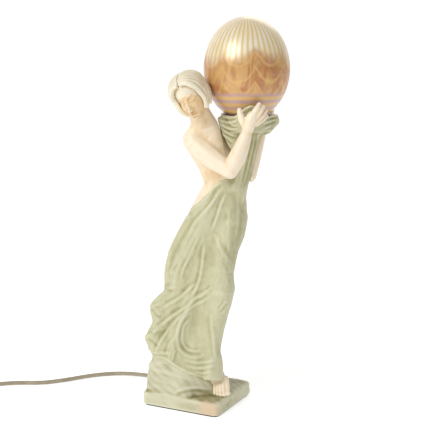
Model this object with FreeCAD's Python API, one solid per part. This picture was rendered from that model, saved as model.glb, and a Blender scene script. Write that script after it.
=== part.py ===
import FreeCAD, Part
import math
import os

# Figural table lamp: a striding draped woman holds a glass globe above a rough plinth.
# Millimetres, +Z up. X and Y run along the plinth's sides, Z = 0 is the underside of the felt.
# The figure is written in its own frame, x to the viewer's right and y away from the viewer,
# and is then turned about Z by FIGURE_TURN. Round forms are faceted skins through rings of points.

V = FreeCAD.Vector
ORIGIN = V(0, 0, 0)
UP = V(0, 0, 1)

# Driving dimensions
LAMP_HEIGHT = 600.0
FIGURE_TURN = 27.7
PLINTH_LENGTH = 132.0
PLINTH_DEPTH = 122.0
SLAB_TOP = 22.0
FELT_THICKNESS = 2.0
POCKET_RIM = 13.0
POCKET_TOP = 17.0
CERAMIC_WALL = 11.0

GLOBE_X = 77.0
GLOBE_Y = 14.0
GLOBE_RADIUS = 65.5
GLOBE_HALF_HEIGHT = 78.4
GLOBE_WALL = 3.0
GLOBE_NECK_RADIUS = 31.0
GLOBE_CENTRE_Z = LAMP_HEIGHT - GLOBE_HALF_HEIGHT
GLOBE_NECK_DROP = 2.0

BOWL_RECESS_RADIUS = 34.0
CLOTH_THICKNESS = 4.0
BOWL_SIDES = 42
GLOBE_CLEARANCE = 1.8

NIPPLE_DIAMETER = 10.0
NIPPLE_BORE = 7.4
NUT_CORNER_RADIUS = 8.1
GALLERY_THICKNESS = 1.2
SEAT_RING_HEIGHT = 2.0
NUT_HEIGHT = 4.0
SEAT_Z = LAMP_HEIGHT - 2 * GLOBE_HALF_HEIGHT - GLOBE_NECK_DROP
GALLERY_Z = SEAT_Z - SEAT_RING_HEIGHT - GALLERY_THICKNESS
BOWL_FLOOR_Z = GALLERY_Z - NUT_HEIGHT
BOWL_RIM_Z = BOWL_FLOOR_Z + 18.0

# The figure's stations are written for this height of the bowl's floor, and rise or sink with it
DRAWN_FLOOR_Z = 434.0
STRETCH = (BOWL_FLOOR_Z - SLAB_TOP) / (DRAWN_FLOOR_Z - SLAB_TOP)
BOWL_FOOT_Z = SLAB_TOP + (417.0 - SLAB_TOP) * STRETCH
NIPPLE_FOOT_Z = BOWL_FOOT_Z - 3.0
NIPPLE_TOP_Z = GALLERY_Z + GALLERY_THICKNESS + 6.8

HOLDER_RADIUS = 14.0
HOLDER_BASE_Z = GALLERY_Z + GALLERY_THICKNESS
HOLDER_HEIGHT = 50.0
BULB_RADIUS = 22.5
BULB_CAP_RADIUS = 6.9
BULB_BASE_Z = HOLDER_BASE_Z + 22.0
BULB_CAP_HEIGHT = 25.0
BULB_LENGTH = 80.0
FIT_GAP = 0.5
FITTING_SIDES = 24

LEAD_DIAMETER = 5.0
LEAD_CHANNEL = 8.4
CORD_DIAMETER = 6.6
CORD_LENGTH = 1800.0
CORD_FLOOR_Z = 3.4
CORD_EXIT_Y = 40.0
CORD_EXIT_Z = 10.0
RELIEF_LENGTH = 28.0
RELIEF_RADIUS = 6.5
RELIEF_NECK_RADIUS = 4.6
RELIEF_TIP_RADIUS = 4.6
COIL_TURNS = 6
COIL_STEP = 7.2
COIL_SIDES = 8
COIL_STATIONS = 20
PLUG_LENGTH = 38.0
PLUG_WIDTH = 30.0
PIN_LENGTH = 19.0
PIN_DIAMETER = 4.0
PIN_SPACING = 18.6


# ---- Helpers ------------------------------------------------------------------------------

def turned(shape):
    """Figure frame to plinth frame."""
    copy = shape.copy()
    copy.rotate(ORIGIN, UP, FIGURE_TURN)
    return copy


def turned_point(x, y, z):
    angle = math.radians(FIGURE_TURN)
    across = x * math.cos(angle) - y * math.sin(angle)
    deep = x * math.sin(angle) + y * math.cos(angle)
    return V(across, deep, z)


def lifted(z):
    """A drawn height in the figure, moved so that it keeps its share of the way up to the bowl."""
    return SLAB_TOP + (z - SLAB_TOP) * STRETCH


def raised(stations):
    return [(x, y, lifted(z), radius) for x, y, z, radius in stations]


def facet(*points):
    return Part.Face(Part.makePolygon([*points, points[0]]))


def skin(rings, looped=False):
    """Closed solid through rings of equally many points; looped joins the last ring to the first."""
    faces = []
    if not looped:
        faces = [facet(*rings[0]), facet(*rings[-1])]
    uppers = rings[1:] + rings[:1] if looped else rings[1:]
    for lower, upper in zip(rings, uppers):
        for index in range(len(lower)):
            after = (index + 1) % len(lower)
            faces.append(facet(lower[index], lower[after], upper[after]))
            faces.append(facet(lower[index], upper[after], upper[index]))
    solid = Part.makeSolid(Part.makeShell(faces))
    if solid.Volume < 0:
        solid.reverse()
    return solid


def ring(level, left, right, front, back, sides, folds=0, depth=0.0, start=0.0, inset=0.0):
    """Level oval ring, with folds that stand out from it and run on from the angle start."""
    middle = V((left + right) / 2.0, (front + back) / 2.0, lifted(level))
    half_width = (right - left) / 2.0 - inset
    half_depth = (back - front) / 2.0 - inset
    points = []
    for index in range(sides):
        turn = 2 * math.pi * index / sides
        ripple = depth * math.cos(folds * turn)
        angle = math.radians(start) + turn
        across = (half_width + ripple) * math.cos(angle)
        deep = (half_depth + ripple) * math.sin(angle)
        points.append(middle + V(across, deep, 0))
    return points


def oval(centre, long_half, short_half, bearing, sides):
    """Level ellipse whose long axis points along bearing, in degrees."""
    angle = math.radians(bearing)
    along = V(math.cos(angle), math.sin(angle), 0)
    aside = V(-math.sin(angle), math.cos(angle), 0)
    points = []
    for index in range(sides):
        turn = 2 * math.pi * index / sides
        points.append(centre + along * (long_half * math.cos(turn)) + aside * (short_half * math.sin(turn)))
    return points


def hoop(centre, heading, radius, sides, upright=UP):
    """Ring of points square to heading."""
    aside = heading.cross(upright).normalize()
    over = aside.cross(heading).normalize()
    points = []
    for index in range(sides):
        turn = 2 * math.pi * (index + 0.5) / sides
        points.append(centre + aside * (radius * math.cos(turn)) + over * (radius * math.sin(turn)))
    return points


def limb(stations, sides=12, round_start=False, round_end=False, upright=UP):
    """Round limb through stations (x, y, z, radius), with an optional dome at each end."""
    centres = [V(x, y, z) for x, y, z, radius in stations]
    rings = []
    for index, centre in enumerate(centres):
        before = centres[max(index - 1, 0)]
        after = centres[min(index + 1, len(centres) - 1)]
        heading = (after - before).normalize()
        rings.append(hoop(centre, heading, stations[index][3], sides, upright))
    first = (centres[0] - centres[1]).normalize()
    last = (centres[-1] - centres[-2]).normalize()
    for share in (0.5, 0.88):
        narrow = math.sqrt(1 - share ** 2)
        if round_start:
            radius = stations[0][3]
            rings.insert(0, hoop(centres[0] + first * (radius * share), first * -1, radius * narrow, sides, upright))
        if round_end:
            radius = stations[-1][3]
            rings.append(hoop(centres[-1] + last * (radius * share), last, radius * narrow, sides, upright))
    return skin(rings)


def egg(centre, half_width, half_depth, half_height, lean, nod, swing, sides=20, bands=10):
    """Ellipsoid nodded about x, leaned about y, then swung about z, in degrees."""
    turn = FreeCAD.Rotation(UP, swing) * FreeCAD.Rotation(V(0, 1, 0), lean) * FreeCAD.Rotation(V(1, 0, 0), nod)
    rings = []
    for band in range(bands + 1):
        height = math.radians(-80 + 160.0 * band / bands)
        points = []
        for index in range(sides):
            around = 2 * math.pi * index / sides
            across = half_width * math.cos(height) * math.cos(around)
            deep = half_depth * math.cos(height) * math.sin(around)
            points.append(centre + turn.multVec(V(across, deep, half_height * math.sin(height))))
        rings.append(points)
    return skin(rings)


def lathe(outline, x, y, sides, bored=False):
    """Outline of (radius, z) points turned about an upright axis; a bored outline closes on itself."""
    rings = []
    for radius, z in outline:
        points = []
        for index in range(sides):
            turn = 2 * math.pi * index / sides
            points.append(V(x + radius * math.cos(turn), y + radius * math.sin(turn), z))
        rings.append(points)
    return skin(rings, bored)


def rounded_block(length, depth, low, high, corner):
    block = Part.makeBox(length, depth, high - low, V(-length / 2, -depth / 2, low))
    upright = [edge for edge in block.Edges if abs(edge.tangentAt(edge.FirstParameter).z) > 0.9]
    return block.makeFillet(corner, upright)


def biggest(shape):
    """The largest solid of a cut's result."""
    return max(shape.Solids, key=lambda solid: solid.Volume)


def tube_path(points):
    """Straight runs joined by tangent arcs, as one wire, with the arcs' radii."""
    edges = []
    radii = []
    last = points[0]
    for index in range(1, len(points) - 1):
        here = points[index]
        back = points[index - 1] - here
        ahead = points[index + 1] - here
        reach = 0.45 * min(back.Length, ahead.Length)
        back.normalize()
        ahead.normalize()
        half_turn = (math.pi - back.getAngle(ahead)) / 2.0
        radius = reach / math.tan(half_turn)
        radii.append(radius)
        enter = here + back * reach
        leave = here + ahead * reach
        bisector = (back + ahead).normalize()
        nearest = here + bisector * (radius / math.cos(half_turn) - radius)
        edges.append(Part.LineSegment(last, enter).toShape())
        edges.append(Part.Arc(enter, nearest, leave).toShape())
        last = leave
    edges.append(Part.LineSegment(last, points[-1]).toShape())
    return Part.Wire(edges), radii


# ---- Plinth -------------------------------------------------------------------------------

MOUND_RINGS = [
    # level, left, right, front, back
    (14.0, -76.0, 50.0, -50.0, 54.0),
    (38.0, -77.0, 44.0, -46.0, 54.0),
    (58.0, -75.0, 32.0, -38.0, 52.0),
    (74.0, -73.0, 8.0, -27.0, 50.0),
    (88.0, -69.0, -20.0, -12.0, 44.0),
]
MOUND_SIDES = 20
LEAD_HOLE = (-8.0, 6.0)


def make_plinth():
    """Rough slab with a rocky mound under the hem, hollow beneath, with a hole for the lead."""
    slab = rounded_block(PLINTH_LENGTH, PLINTH_DEPTH, FELT_THICKNESS, SLAB_TOP, 8.0)
    rim = [edge for edge in slab.Edges if edge.BoundBox.ZMin > SLAB_TOP - 0.1]
    slab = slab.makeChamfer(3.0, rim)
    rings = [ring(*sizes, MOUND_SIDES, 7, 1.5, 9.0 * index) for index, sizes in enumerate(MOUND_RINGS)]
    footprint = Part.makeBox(
        PLINTH_LENGTH - 3, PLINTH_DEPTH - 3, 200, V(1.5 - PLINTH_LENGTH / 2, 1.5 - PLINTH_DEPTH / 2, 0))
    plinth = slab.fuse(turned(skin(rings)).common(footprint))
    pocket_length = PLINTH_LENGTH - 2 * POCKET_RIM
    pocket_depth = PLINTH_DEPTH - 2 * POCKET_RIM
    pocket = Part.makeBox(pocket_length, pocket_depth, POCKET_TOP, V(-pocket_length / 2, -pocket_depth / 2, 0))
    lead_hole = Part.makeCylinder(6.0, 120.0, turned_point(*LEAD_HOLE, POCKET_TOP - 1))
    exit_start = V(-PLINTH_LENGTH / 2 - 4, CORD_EXIT_Y, CORD_EXIT_Z)
    exit_hole = Part.makeCylinder(RELIEF_NECK_RADIUS, POCKET_RIM + 6, exit_start, V(1, 0, 0))
    return biggest(plinth.cut(pocket).cut(lead_hole).cut(exit_hole))


def make_felt():
    return rounded_block(PLINTH_LENGTH - 5, PLINTH_DEPTH - 5, 0, FELT_THICKNESS, 8.0)


# ---- Draped figure ------------------------------------------------------------------------

SKIRT_FOLDS = 8
SKIRT_SIDES = 32
SKIRT_RINGS = [
    # level, left, right, front, back, fold depth, turn of the folds
    (40.0, -65.0, 34.0, -37.0, 45.0, 3.6, -34.0),
    (60.0, -67.0, 34.0, -36.0, 46.0, 3.8, -32.0),
    (80.0, -68.0, 35.0, -34.0, 46.0, 3.8, -29.0),
    (104.0, -66.0, 38.0, -32.0, 46.0, 3.8, -24.0),
    (130.0, -62.0, 44.0, -30.0, 47.0, 3.6, -18.0),
    (158.0, -56.0, 50.0, -30.0, 46.0, 3.4, -11.0),
    (187.0, -49.0, 53.0, -30.0, 45.0, 3.0, -4.0),
    (214.0, -47.0, 54.0, -30.0, 45.0, 2.6, 3.0),
    (240.0, -41.0, 62.0, -30.0, 45.0, 2.2, 9.0),
    (264.0, -31.0, 73.0, -30.0, 46.0, 1.8, 14.0),
    (290.0, -18.0, 79.0, -28.0, 46.0, 1.4, 18.0),
    (312.0, -7.0, 79.0, -22.0, 44.0, 1.0, 21.0),
    (330.0, 3.0, 77.0, -15.0, 41.0, 0.7, 23.0),
    (345.0, 11.0, 74.0, -9.0, 37.0, 0.4, 24.0),
]
FRONT_LEG = [
    (56.0, 6.0, 314.0, 18.0),
    (50.0, -6.0, 285.0, 25.0),
    (45.0, -19.0, 250.0, 25.0),
    (41.0, -31.0, 218.0, 22.0),
    (39.5, -35.0, 188.0, 20.5),
    (36.0, -32.0, 160.0, 17.0),
    (32.0, -30.0, 130.0, 15.0),
    (27.0, -30.0, 95.0, 14.5),
    (25.0, -33.0, 68.0, 16.0),
    (24.0, -35.0, 46.0, 17.0),
]
FLUTTER_RINGS = [
    (84.0, -79.0, -46.0, -17.0, 8.0),
    (100.0, -77.0, -44.0, -16.0, 8.0),
    (116.0, -75.0, -42.0, -15.0, 7.0),
    (130.0, -68.0, -40.0, -14.0, 7.0),
    (144.0, -73.0, -38.0, -14.0, 6.0),
    (158.0, -77.0, -36.0, -13.0, 6.0),
    (170.0, -68.0, -34.0, -12.0, 5.0),
    (182.0, -54.0, -32.0, -11.0, 4.0),
]
TORSO_OVALS = [
    # centre x, y, z, long half, short half, bearing
    (42.0, 14.0, 345.0, 31.0, 22.0, 18.0),
    (39.0, 13.5, 356.0, 32.0, 22.0, 22.0),
    (35.0, 13.0, 370.0, 34.0, 23.0, 26.0),
    (29.0, 11.5, 384.0, 37.0, 25.5, 29.0),
    (23.0, 10.0, 397.0, 39.0, 25.5, 31.0),
    (16.5, 9.0, 411.0, 42.0, 23.5, 33.0),
    (13.0, 8.0, 422.0, 38.0, 20.0, 34.0),
    (11.0, 6.0, 431.0, 28.0, 16.0, 33.0),
    (8.0, 1.0, 440.0, 15.5, 13.0, 30.0),
    (4.0, -6.0, 451.0, 12.0, 12.0, 30.0),
    (0.0, -13.0, 466.0, 12.0, 12.0, 30.0),
]
RIGHT_SHOULDER = (-6.0, -7.0, 415.0, 14.5)
RIGHT_ELBOW = (50.0, -45.0, 374.0, 12.0)
RIGHT_WRIST = (74.5, -47.0, 433.0, 7.6)
LEFT_SHOULDER = (40.0, 27.0, 412.0, 13.5)
LEFT_ELBOW = (81.0, 10.0, 357.0, 11.5)
LEFT_WRIST = (101.0, 26.0, 424.0, 7.6)
HEAD_CENTRE = V(-6.0, -25.0, SLAB_TOP + (485.0 - SLAB_TOP) * STRETCH)
HEAD_LEAN = -25.0
HEAD_NOD = 18.0
HEAD_SWING = -27.0

LEAD_ROUTE = [
    (GLOBE_X, GLOBE_Y, 400.0),
    (74.0, 8.0, 362.0),
    (56.0, 8.0, 318.0),
    (34.0, 8.0, 262.0),
    (15.0, 8.0, 205.0),
    (0.0, 7.0, 150.0),
    (-8.0, 6.0, 95.0),
    (-8.0, 6.0, 30.0),
]


def make_skirt():
    """Long skirt over the leading leg, its folds sweeping down and back, hollow inside."""
    outer = []
    inner = []
    for level, left, right, front, back, depth, start in SKIRT_RINGS:
        outer.append(ring(level, left, right, front, back, SKIRT_SIDES, SKIRT_FOLDS, depth, start))
    for level, left, right, front, back, depth, start in SKIRT_RINGS[:-2]:
        inner.append(ring(level, left, right, front, back, 12, inset=CERAMIC_WALL + depth))
    return skin(outer).fuse(limb(raised(FRONT_LEG), 16)).cut(skin(inner))


def make_torso():
    rings = []
    for x, y, z, long_half, short_half, bearing in TORSO_OVALS:
        rings.append(oval(V(x, y, lifted(z)), long_half, short_half, bearing, 18))
    return skin(rings)


def bent_arm(shoulder, elbow, wrist):
    """Upper arm and forearm that meet at a rounded elbow."""
    shoulder, elbow, wrist = raised([shoulder, elbow, wrist])
    start = V(*shoulder[:3])
    bend = V(*elbow[:3])
    end = V(*wrist[:3])
    upper_middle = start * 0.45 + bend * 0.55
    fore_middle = bend * 0.62 + end * 0.38
    middle_radius = (shoulder[3] + elbow[3]) / 2
    upper = limb([shoulder, (*upper_middle, middle_radius), elbow], 11, True, True, V(0, -1, 0))
    fore = limb([elbow, (*fore_middle, elbow[3] * 0.93), wrist], 11, True, False, V(0, -1, 0))
    return upper.fuse(fore)


def make_hand(palm_stations, fingers):
    palm = limb(raised(palm_stations), 9, False, True, V(0, -1, 0))
    for stations in fingers:
        palm = palm.fuse(limb(raised(stations), 6, False, True, V(0, -1, 0)))
    return palm


RIGHT_PALM = [
    (RIGHT_WRIST[0], RIGHT_WRIST[1], RIGHT_WRIST[2] - 1.0, 7.3),
    (76.5, -49.0, 441.0, 9.0),
    (80.5, -50.5, 452.0, 9.2),
    (83.0, -51.0, 457.0, 8.0),
]
RIGHT_FINGERS = [
    [(72.0, -48.0, 443.0, 5.0), (66.5, -46.5, 456.0, 4.6), (64.0, -43.5, 465.0, 3.8)],
    [(80.0, -52.0, 454.0, 4.8), (87.0, -53.0, 466.0, 4.4), (92.5, -49.5, 474.0, 3.6)],
    [(85.0, -50.5, 453.0, 4.8), (93.0, -50.5, 463.0, 4.5), (98.5, -46.5, 470.0, 3.7)],
    [(87.0, -48.0, 449.0, 4.7), (96.5, -47.0, 457.0, 4.3), (103.0, -42.5, 463.0, 3.6)],
    [(86.0, -45.0, 445.0, 4.4), (97.0, -42.5, 450.5, 4.0), (104.0, -38.5, 456.0, 3.4)],
]
LEFT_PALM = [
    (LEFT_WRIST[0], LEFT_WRIST[1], LEFT_WRIST[2] - 1.0, 7.3),
    (101.0, 34.0, 431.0, 9.0),
    (98.0, 45.0, 438.0, 9.2),
]
LEFT_FINGERS = [
    [(108.0, 34.0, 434.0, 5.0), (116.5, 38.0, 445.0, 4.4), (117.5, 38.5, 455.0, 3.6)],
    [(99.0, 50.0, 440.0, 4.8), (103.0, 58.0, 450.0, 4.4), (104.5, 58.0, 460.0, 3.6)],
    [(95.0, 52.0, 440.0, 4.8), (94.5, 61.5, 450.0, 4.4), (94.5, 62.0, 461.0, 3.6)],
    [(90.0, 51.0, 440.0, 4.8), (85.5, 61.0, 449.0, 4.4), (84.0, 62.0, 460.0, 3.6)],
    [(86.0, 48.0, 438.0, 4.4), (77.0, 58.0, 447.0, 4.0), (74.0, 60.0, 456.0, 3.2)],
]


def make_foot():
    """Bare foot: heel, instep and ball, and five toes side by side."""
    foot = limb(raised([
        (27.0, -28.0, 60.0, 11.0),
        (31.0, -41.0, 46.0, 12.0),
        (36.0, -53.0, 36.5, 11.5),
        (38.5, -59.0, 32.5, 9.5),
    ]), 14, False, True)
    heading = V(0.32, -0.92, -0.22).normalize()
    aside = V(0.94, 0.34, 0.0)
    for index in range(5):
        reach = 12.5 - 1.7 * index
        radius = 4.9 if index == 0 else 4.0 - 0.18 * index
        root = V(30.0, -58.5, 29.0) + aside * (6.6 * index)
        tip = root + heading * reach
        foot = foot.fuse(limb([(*root, radius), (*tip, radius * 0.88)], 8, False, True))
    sole = Part.makeBox(200, 200, 60, V(-60, -160, SLAB_TOP - 60))
    return foot.cut(sole)


MANTLE_RINGS = [
    (318.0, 44.0, 76.0, -12.0, 24.0, 15, 5, 1.4, 20.0),
    (340.0, 48.0, 80.0, -13.0, 24.0, 15, 5, 1.6, 26.0),
    (362.0, 54.0, 85.0, -13.0, 25.0, 15, 5, 1.8, 32.0),
    (384.0, 59.0, 90.0, -11.0, 27.0, 15, 5, 1.8, 38.0),
    (406.0, 60.0, 93.0, -8.0, 31.0, 15, 5, 1.8, 44.0),
    (417.0, 57.0, 96.0, -8.0, 34.0, 15, 5, 1.8, 50.0),
]
DRAPE_OVALS = [
    # centre x, y, z, long half, short half, bearing
    (64.0, -6.0, 384.0, 7.0, 7.0, 0.0),
    (62.0, -6.0, 398.0, 9.0, 8.0, -10.0),
    (56.0, -5.0, 412.0, 11.0, 9.0, -30.0),
    (49.0, -3.0, 426.0, 12.0, 9.0, -45.0),
    (43.0, -1.0, 438.0, 11.0, 8.0, -60.0),
    (39.0, 0.0, 449.0, 9.5, 7.0, -65.0),
]


def make_drape():
    """Cloth that falls from the bowl over the left shoulder and in front of the chest."""
    rings = []
    for x, y, z, long_half, short_half, bearing in DRAPE_OVALS:
        rings.append(oval(V(x, y, lifted(z)), long_half, short_half, bearing, 12))
    return skin(rings)


def globe_outer_radius(z):
    """Radius of the globe's outside at a height."""
    share = (z - GLOBE_CENTRE_Z) / GLOBE_HALF_HEIGHT
    return max(GLOBE_RADIUS * math.sqrt(max(1 - share ** 2, 0.0)), GLOBE_NECK_RADIUS)


def cloth_top(bearing):
    """Height of the gathered cloth's edge, which rises where the right hand holds it to the glass."""
    lift = math.exp(-((bearing - 274.0) / 24.0) ** 2)
    back_lift = 0.45 * math.exp(-((bearing - 80.0) / 30.0) ** 2)
    wave = 1.2 * math.cos(math.radians(5 * bearing))
    return BOWL_RIM_Z + wave + 20.0 * max(lift, back_lift)


def make_cloth_bowl():
    """Gathered cloth under the globe's neck, one section for each bearing, swept all the way round."""
    sections = []
    for index in range(BOWL_SIDES):
        bearing = 360.0 * index / BOWL_SIDES
        angle = math.radians(bearing)
        ripple = 2.2 * math.cos(7 * angle)
        top = cloth_top(bearing)
        inner_top = globe_outer_radius(top) + GLOBE_CLEARANCE
        middle = BOWL_RIM_Z - 8.0
        half = (top + middle) / 2
        outline = [
            (NIPPLE_DIAMETER / 2 + 0.2, BOWL_FOOT_Z),
            (21.0 + 0.6 * ripple, BOWL_FOOT_Z),
            (33.0 + ripple, BOWL_FLOOR_Z - 4.0),
            (38.0 + ripple, middle),
            (max(globe_outer_radius(half) + CLOTH_THICKNESS + GLOBE_CLEARANCE, 40.0 + ripple), half),
            (max(inner_top + CLOTH_THICKNESS, 41.0 + ripple), top),
            (max(inner_top, BOWL_RECESS_RADIUS), top),
            (max(globe_outer_radius(half) + GLOBE_CLEARANCE, BOWL_RECESS_RADIUS), half),
            (BOWL_RECESS_RADIUS, middle),
            (BOWL_RECESS_RADIUS, BOWL_FLOOR_Z),
            (NIPPLE_DIAMETER / 2 + 0.2, BOWL_FLOOR_Z),
        ]
        around = V(math.cos(angle), math.sin(angle), 0)
        centre = V(GLOBE_X, GLOBE_Y, 0)
        sections.append([centre + around * radius + UP * z for radius, z in outline])
    return skin(sections, True)


TAIL_STATIONS = [
    # centre, half thickness, half height
    (V(103.0, 10.0, BOWL_FLOOR_Z - 3.0), 7.0, 11.0),
    (V(110.0, 8.0, BOWL_FLOOR_Z + 1.0), 6.0, 11.5),
    (V(118.0, 11.0, BOWL_FLOOR_Z + 7.0), 4.0, 10.0),
    (V(126.5, 9.0, BOWL_FLOOR_Z + 12.0), 2.0, 7.0),
]


def make_cloth_tail():
    """Loose corner of the cloth that flies out beside the bowl."""
    rings = []
    for centre, thick, high in TAIL_STATIONS:
        points = []
        for index in range(10):
            turn = 2 * math.pi * index / 10
            points.append(centre + V(-0.25 * high * math.sin(turn), thick * math.cos(turn), high * math.sin(turn)))
        rings.append(points)
    return skin(rings)


HAIR_LOCKS = [
    [(-34.0, -22.0, 480.0, 7.0), (-33.0, -31.0, 467.0, 7.0), (-27.0, -35.0, 457.0, 5.0)],
    [(17.0, -8.0, 476.0, 7.5), (21.0, -7.0, 464.0, 7.0), (19.0, -5.0, 455.5, 5.0)],
    [(-20.0, 4.0, 474.0, 8.5), (-18.0, 6.0, 462.0, 7.5), (-12.0, 7.0, 452.0, 5.0)],
    [(3.0, 9.0, 474.0, 8.5), (5.0, 10.0, 462.0, 7.5), (8.0, 9.0, 453.0, 5.0)],
]


def make_hair():
    """Cap of wavy hair round the head, open at the face, with locks down to the nape."""
    back = egg(HEAD_CENTRE + V(-3.0, 5.0, 4.5), 29.5, 32.0, 32.0, HEAD_LEAN, HEAD_NOD, HEAD_SWING, 18, 9)
    window = egg(HEAD_CENTRE + V(-14.0, -29.0, -16.0), 17.5, 26.0, 27.0, HEAD_LEAN, HEAD_NOD, HEAD_SWING, 12, 7)
    hair = back.cut(window)
    for stations in HAIR_LOCKS:
        hair = hair.fuse(limb(raised(stations), 7, False, True, V(0, -1, 0)))
    return hair


def figure_pieces():
    """The figure's ceramic pieces, each cut by those that it is luted to."""
    plinth = make_plinth()
    rock = plinth.copy()
    rock.rotate(ORIGIN, UP, -FIGURE_TURN)
    stations = [(x, y, lifted(z), LEAD_CHANNEL / 2) for x, y, z in LEAD_ROUTE[:4]]
    stations.insert(0, (GLOBE_X, GLOBE_Y, BOWL_FOOT_Z + 1, LEAD_CHANNEL / 2))
    channel = limb(stations, 10, upright=V(0, -1, 0))
    thread = Part.makeCylinder(NIPPLE_DIAMETER / 2 + 0.2, 30.0, V(GLOBE_X, GLOBE_Y, NIPPLE_FOOT_Z - 1))
    skirt = biggest(make_skirt().cut(rock).cut(channel))
    torso = biggest(make_torso().cut(channel))
    bowl = make_cloth_bowl()
    free_radius = BOWL_RECESS_RADIUS + FIT_GAP
    recess = lathe([(free_radius, BOWL_FLOOR_Z - FIT_GAP), (free_radius, GLOBE_CENTRE_Z)], GLOBE_X, GLOBE_Y, BOWL_SIDES)
    mantle = skin([ring(*sizes) for sizes in MANTLE_RINGS]).fuse(make_drape())
    mantle = biggest(mantle.cut(skirt).cut(torso).cut(channel).cut(thread).cut(bowl).cut(recess))
    right_arm = bent_arm(RIGHT_SHOULDER, RIGHT_ELBOW, RIGHT_WRIST)
    right_arm = biggest(right_arm.cut(torso).cut(mantle).cut(skirt))
    left_arm = bent_arm(LEFT_SHOULDER, LEFT_ELBOW, LEFT_WRIST)
    left_arm = biggest(left_arm.cut(torso).cut(mantle).cut(bowl).cut(skirt))
    right_hand = biggest(make_hand(RIGHT_PALM, RIGHT_FINGERS).cut(right_arm).cut(recess).cut(bowl))
    tail = biggest(make_cloth_tail().cut(recess).cut(bowl))
    left_hand = biggest(make_hand(LEFT_PALM, LEFT_FINGERS).cut(left_arm).cut(recess).cut(bowl))
    flutter = skin([ring(*sizes, 14) for sizes in FLUTTER_RINGS])
    flutter = biggest(flutter.cut(skirt).cut(rock))
    foot = biggest(make_foot().cut(skirt).cut(rock))
    head = biggest(egg(HEAD_CENTRE, 22.5, 26.0, 30.5, HEAD_LEAN, HEAD_NOD, HEAD_SWING, 18, 9).cut(torso))
    hair = biggest(make_hair().cut(head).cut(torso))
    pieces = {
        "skirt": skirt,
        "flutter_drape": flutter,
        "torso": torso,
        "mantle": mantle,
        "cloth_bowl": bowl,
        "cloth_tail": tail,
        "right_arm": right_arm,
        "right_hand": right_hand,
        "left_arm": left_arm,
        "left_hand": left_hand,
        "foot": foot,
        "head": head,
        "hair": hair,
    }
    pieces = {name: turned(shape) for name, shape in pieces.items()}
    pieces["plinth"] = plinth
    pieces["felt_pad"] = make_felt()
    return pieces


# ---- Globe and light fitting --------------------------------------------------------------

def ellipse_outline(radius, half_height, low, high, steps):
    """(radius, z) points up an ellipse between two angles from its equator, in degrees."""
    outline = []
    for index in range(steps + 1):
        angle = math.radians(low + (high - low) * index / steps)
        outline.append((radius * math.cos(angle), GLOBE_CENTRE_Z + half_height * math.sin(angle)))
    return outline


def make_globe():
    """Blown glass globe, drawn in to a short straight neck that stands on the seat ring."""
    outer = [(GLOBE_NECK_RADIUS, SEAT_Z), (GLOBE_NECK_RADIUS, SEAT_Z + 8.0)]
    outer += ellipse_outline(GLOBE_RADIUS, GLOBE_HALF_HEIGHT, -60.0, 85.0, 13)
    outer.append((0.6, LAMP_HEIGHT))
    inner = [(GLOBE_NECK_RADIUS - GLOBE_WALL, SEAT_Z - 1.0), (GLOBE_NECK_RADIUS - GLOBE_WALL, SEAT_Z + 9.0)]
    inner_radius = GLOBE_RADIUS - GLOBE_WALL
    inner += ellipse_outline(inner_radius, GLOBE_HALF_HEIGHT - GLOBE_WALL, -60.0, 82.0, 8)
    return lathe(outer, GLOBE_X, GLOBE_Y, 32).cut(lathe(inner, GLOBE_X, GLOBE_Y, 18))


def make_gallery():
    """Spun brass dish with a turned-up rim, screwed down on the nipple."""
    rim = GLOBE_NECK_RADIUS + 2.2
    hole = NIPPLE_DIAMETER / 2 + 0.2
    outline = [
        (hole, GALLERY_Z), (rim - 1.0, GALLERY_Z), (rim, GALLERY_Z + 1.0), (rim, GALLERY_Z + 8.0),
        (rim - GALLERY_THICKNESS, GALLERY_Z + 8.0), (rim - GALLERY_THICKNESS, GALLERY_Z + GALLERY_THICKNESS),
        (hole, GALLERY_Z + GALLERY_THICKNESS),
    ]
    return lathe(outline, GLOBE_X, GLOBE_Y, FITTING_SIDES, True)


def make_seat_ring():
    low = GALLERY_Z + GALLERY_THICKNESS
    outer = GLOBE_NECK_RADIUS + 0.6
    inner = GLOBE_NECK_RADIUS - GLOBE_WALL - 1.5
    outline = [(inner, low), (outer, low), (outer, SEAT_Z), (inner, SEAT_Z)]
    return lathe(outline, GLOBE_X, GLOBE_Y, FITTING_SIDES, True)


def make_nipple():
    """Short threaded tube that joins bowl, gallery and lampholder, and takes the lead."""
    outline = [
        (NIPPLE_BORE / 2, NIPPLE_FOOT_Z), (NIPPLE_DIAMETER / 2, NIPPLE_FOOT_Z),
        (NIPPLE_DIAMETER / 2, NIPPLE_TOP_Z), (NIPPLE_BORE / 2, NIPPLE_TOP_Z),
    ]
    return lathe(outline, GLOBE_X, GLOBE_Y, FITTING_SIDES, True)


def make_lock_nut():
    """Hexagon nut that clamps the nipple to the bowl's floor, under the gallery."""
    blank = lathe([(NUT_CORNER_RADIUS, BOWL_FLOOR_Z), (NUT_CORNER_RADIUS, GALLERY_Z)], GLOBE_X, GLOBE_Y, 6)
    bore = [(NIPPLE_DIAMETER / 2, BOWL_FLOOR_Z - 5), (NIPPLE_DIAMETER / 2, GALLERY_Z + 5)]
    return blank.cut(lathe(bore, GLOBE_X, GLOBE_Y, FITTING_SIDES))


def make_holder_cap():
    """Lampholder cap with a threaded boss round the nipple."""
    low = HOLDER_BASE_Z
    wall = HOLDER_RADIUS - 1.6
    outline = [
        (NIPPLE_DIAMETER / 2, low), (8.0, low), (HOLDER_RADIUS, low + 6.0), (HOLDER_RADIUS, low + 16.0),
        (wall, low + 16.0), (wall, low + 7.0), (7.0, low + 7.0), (NIPPLE_DIAMETER / 2, low + 7.0),
    ]
    return lathe(outline, GLOBE_X, GLOBE_Y, FITTING_SIDES, True)


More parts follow.
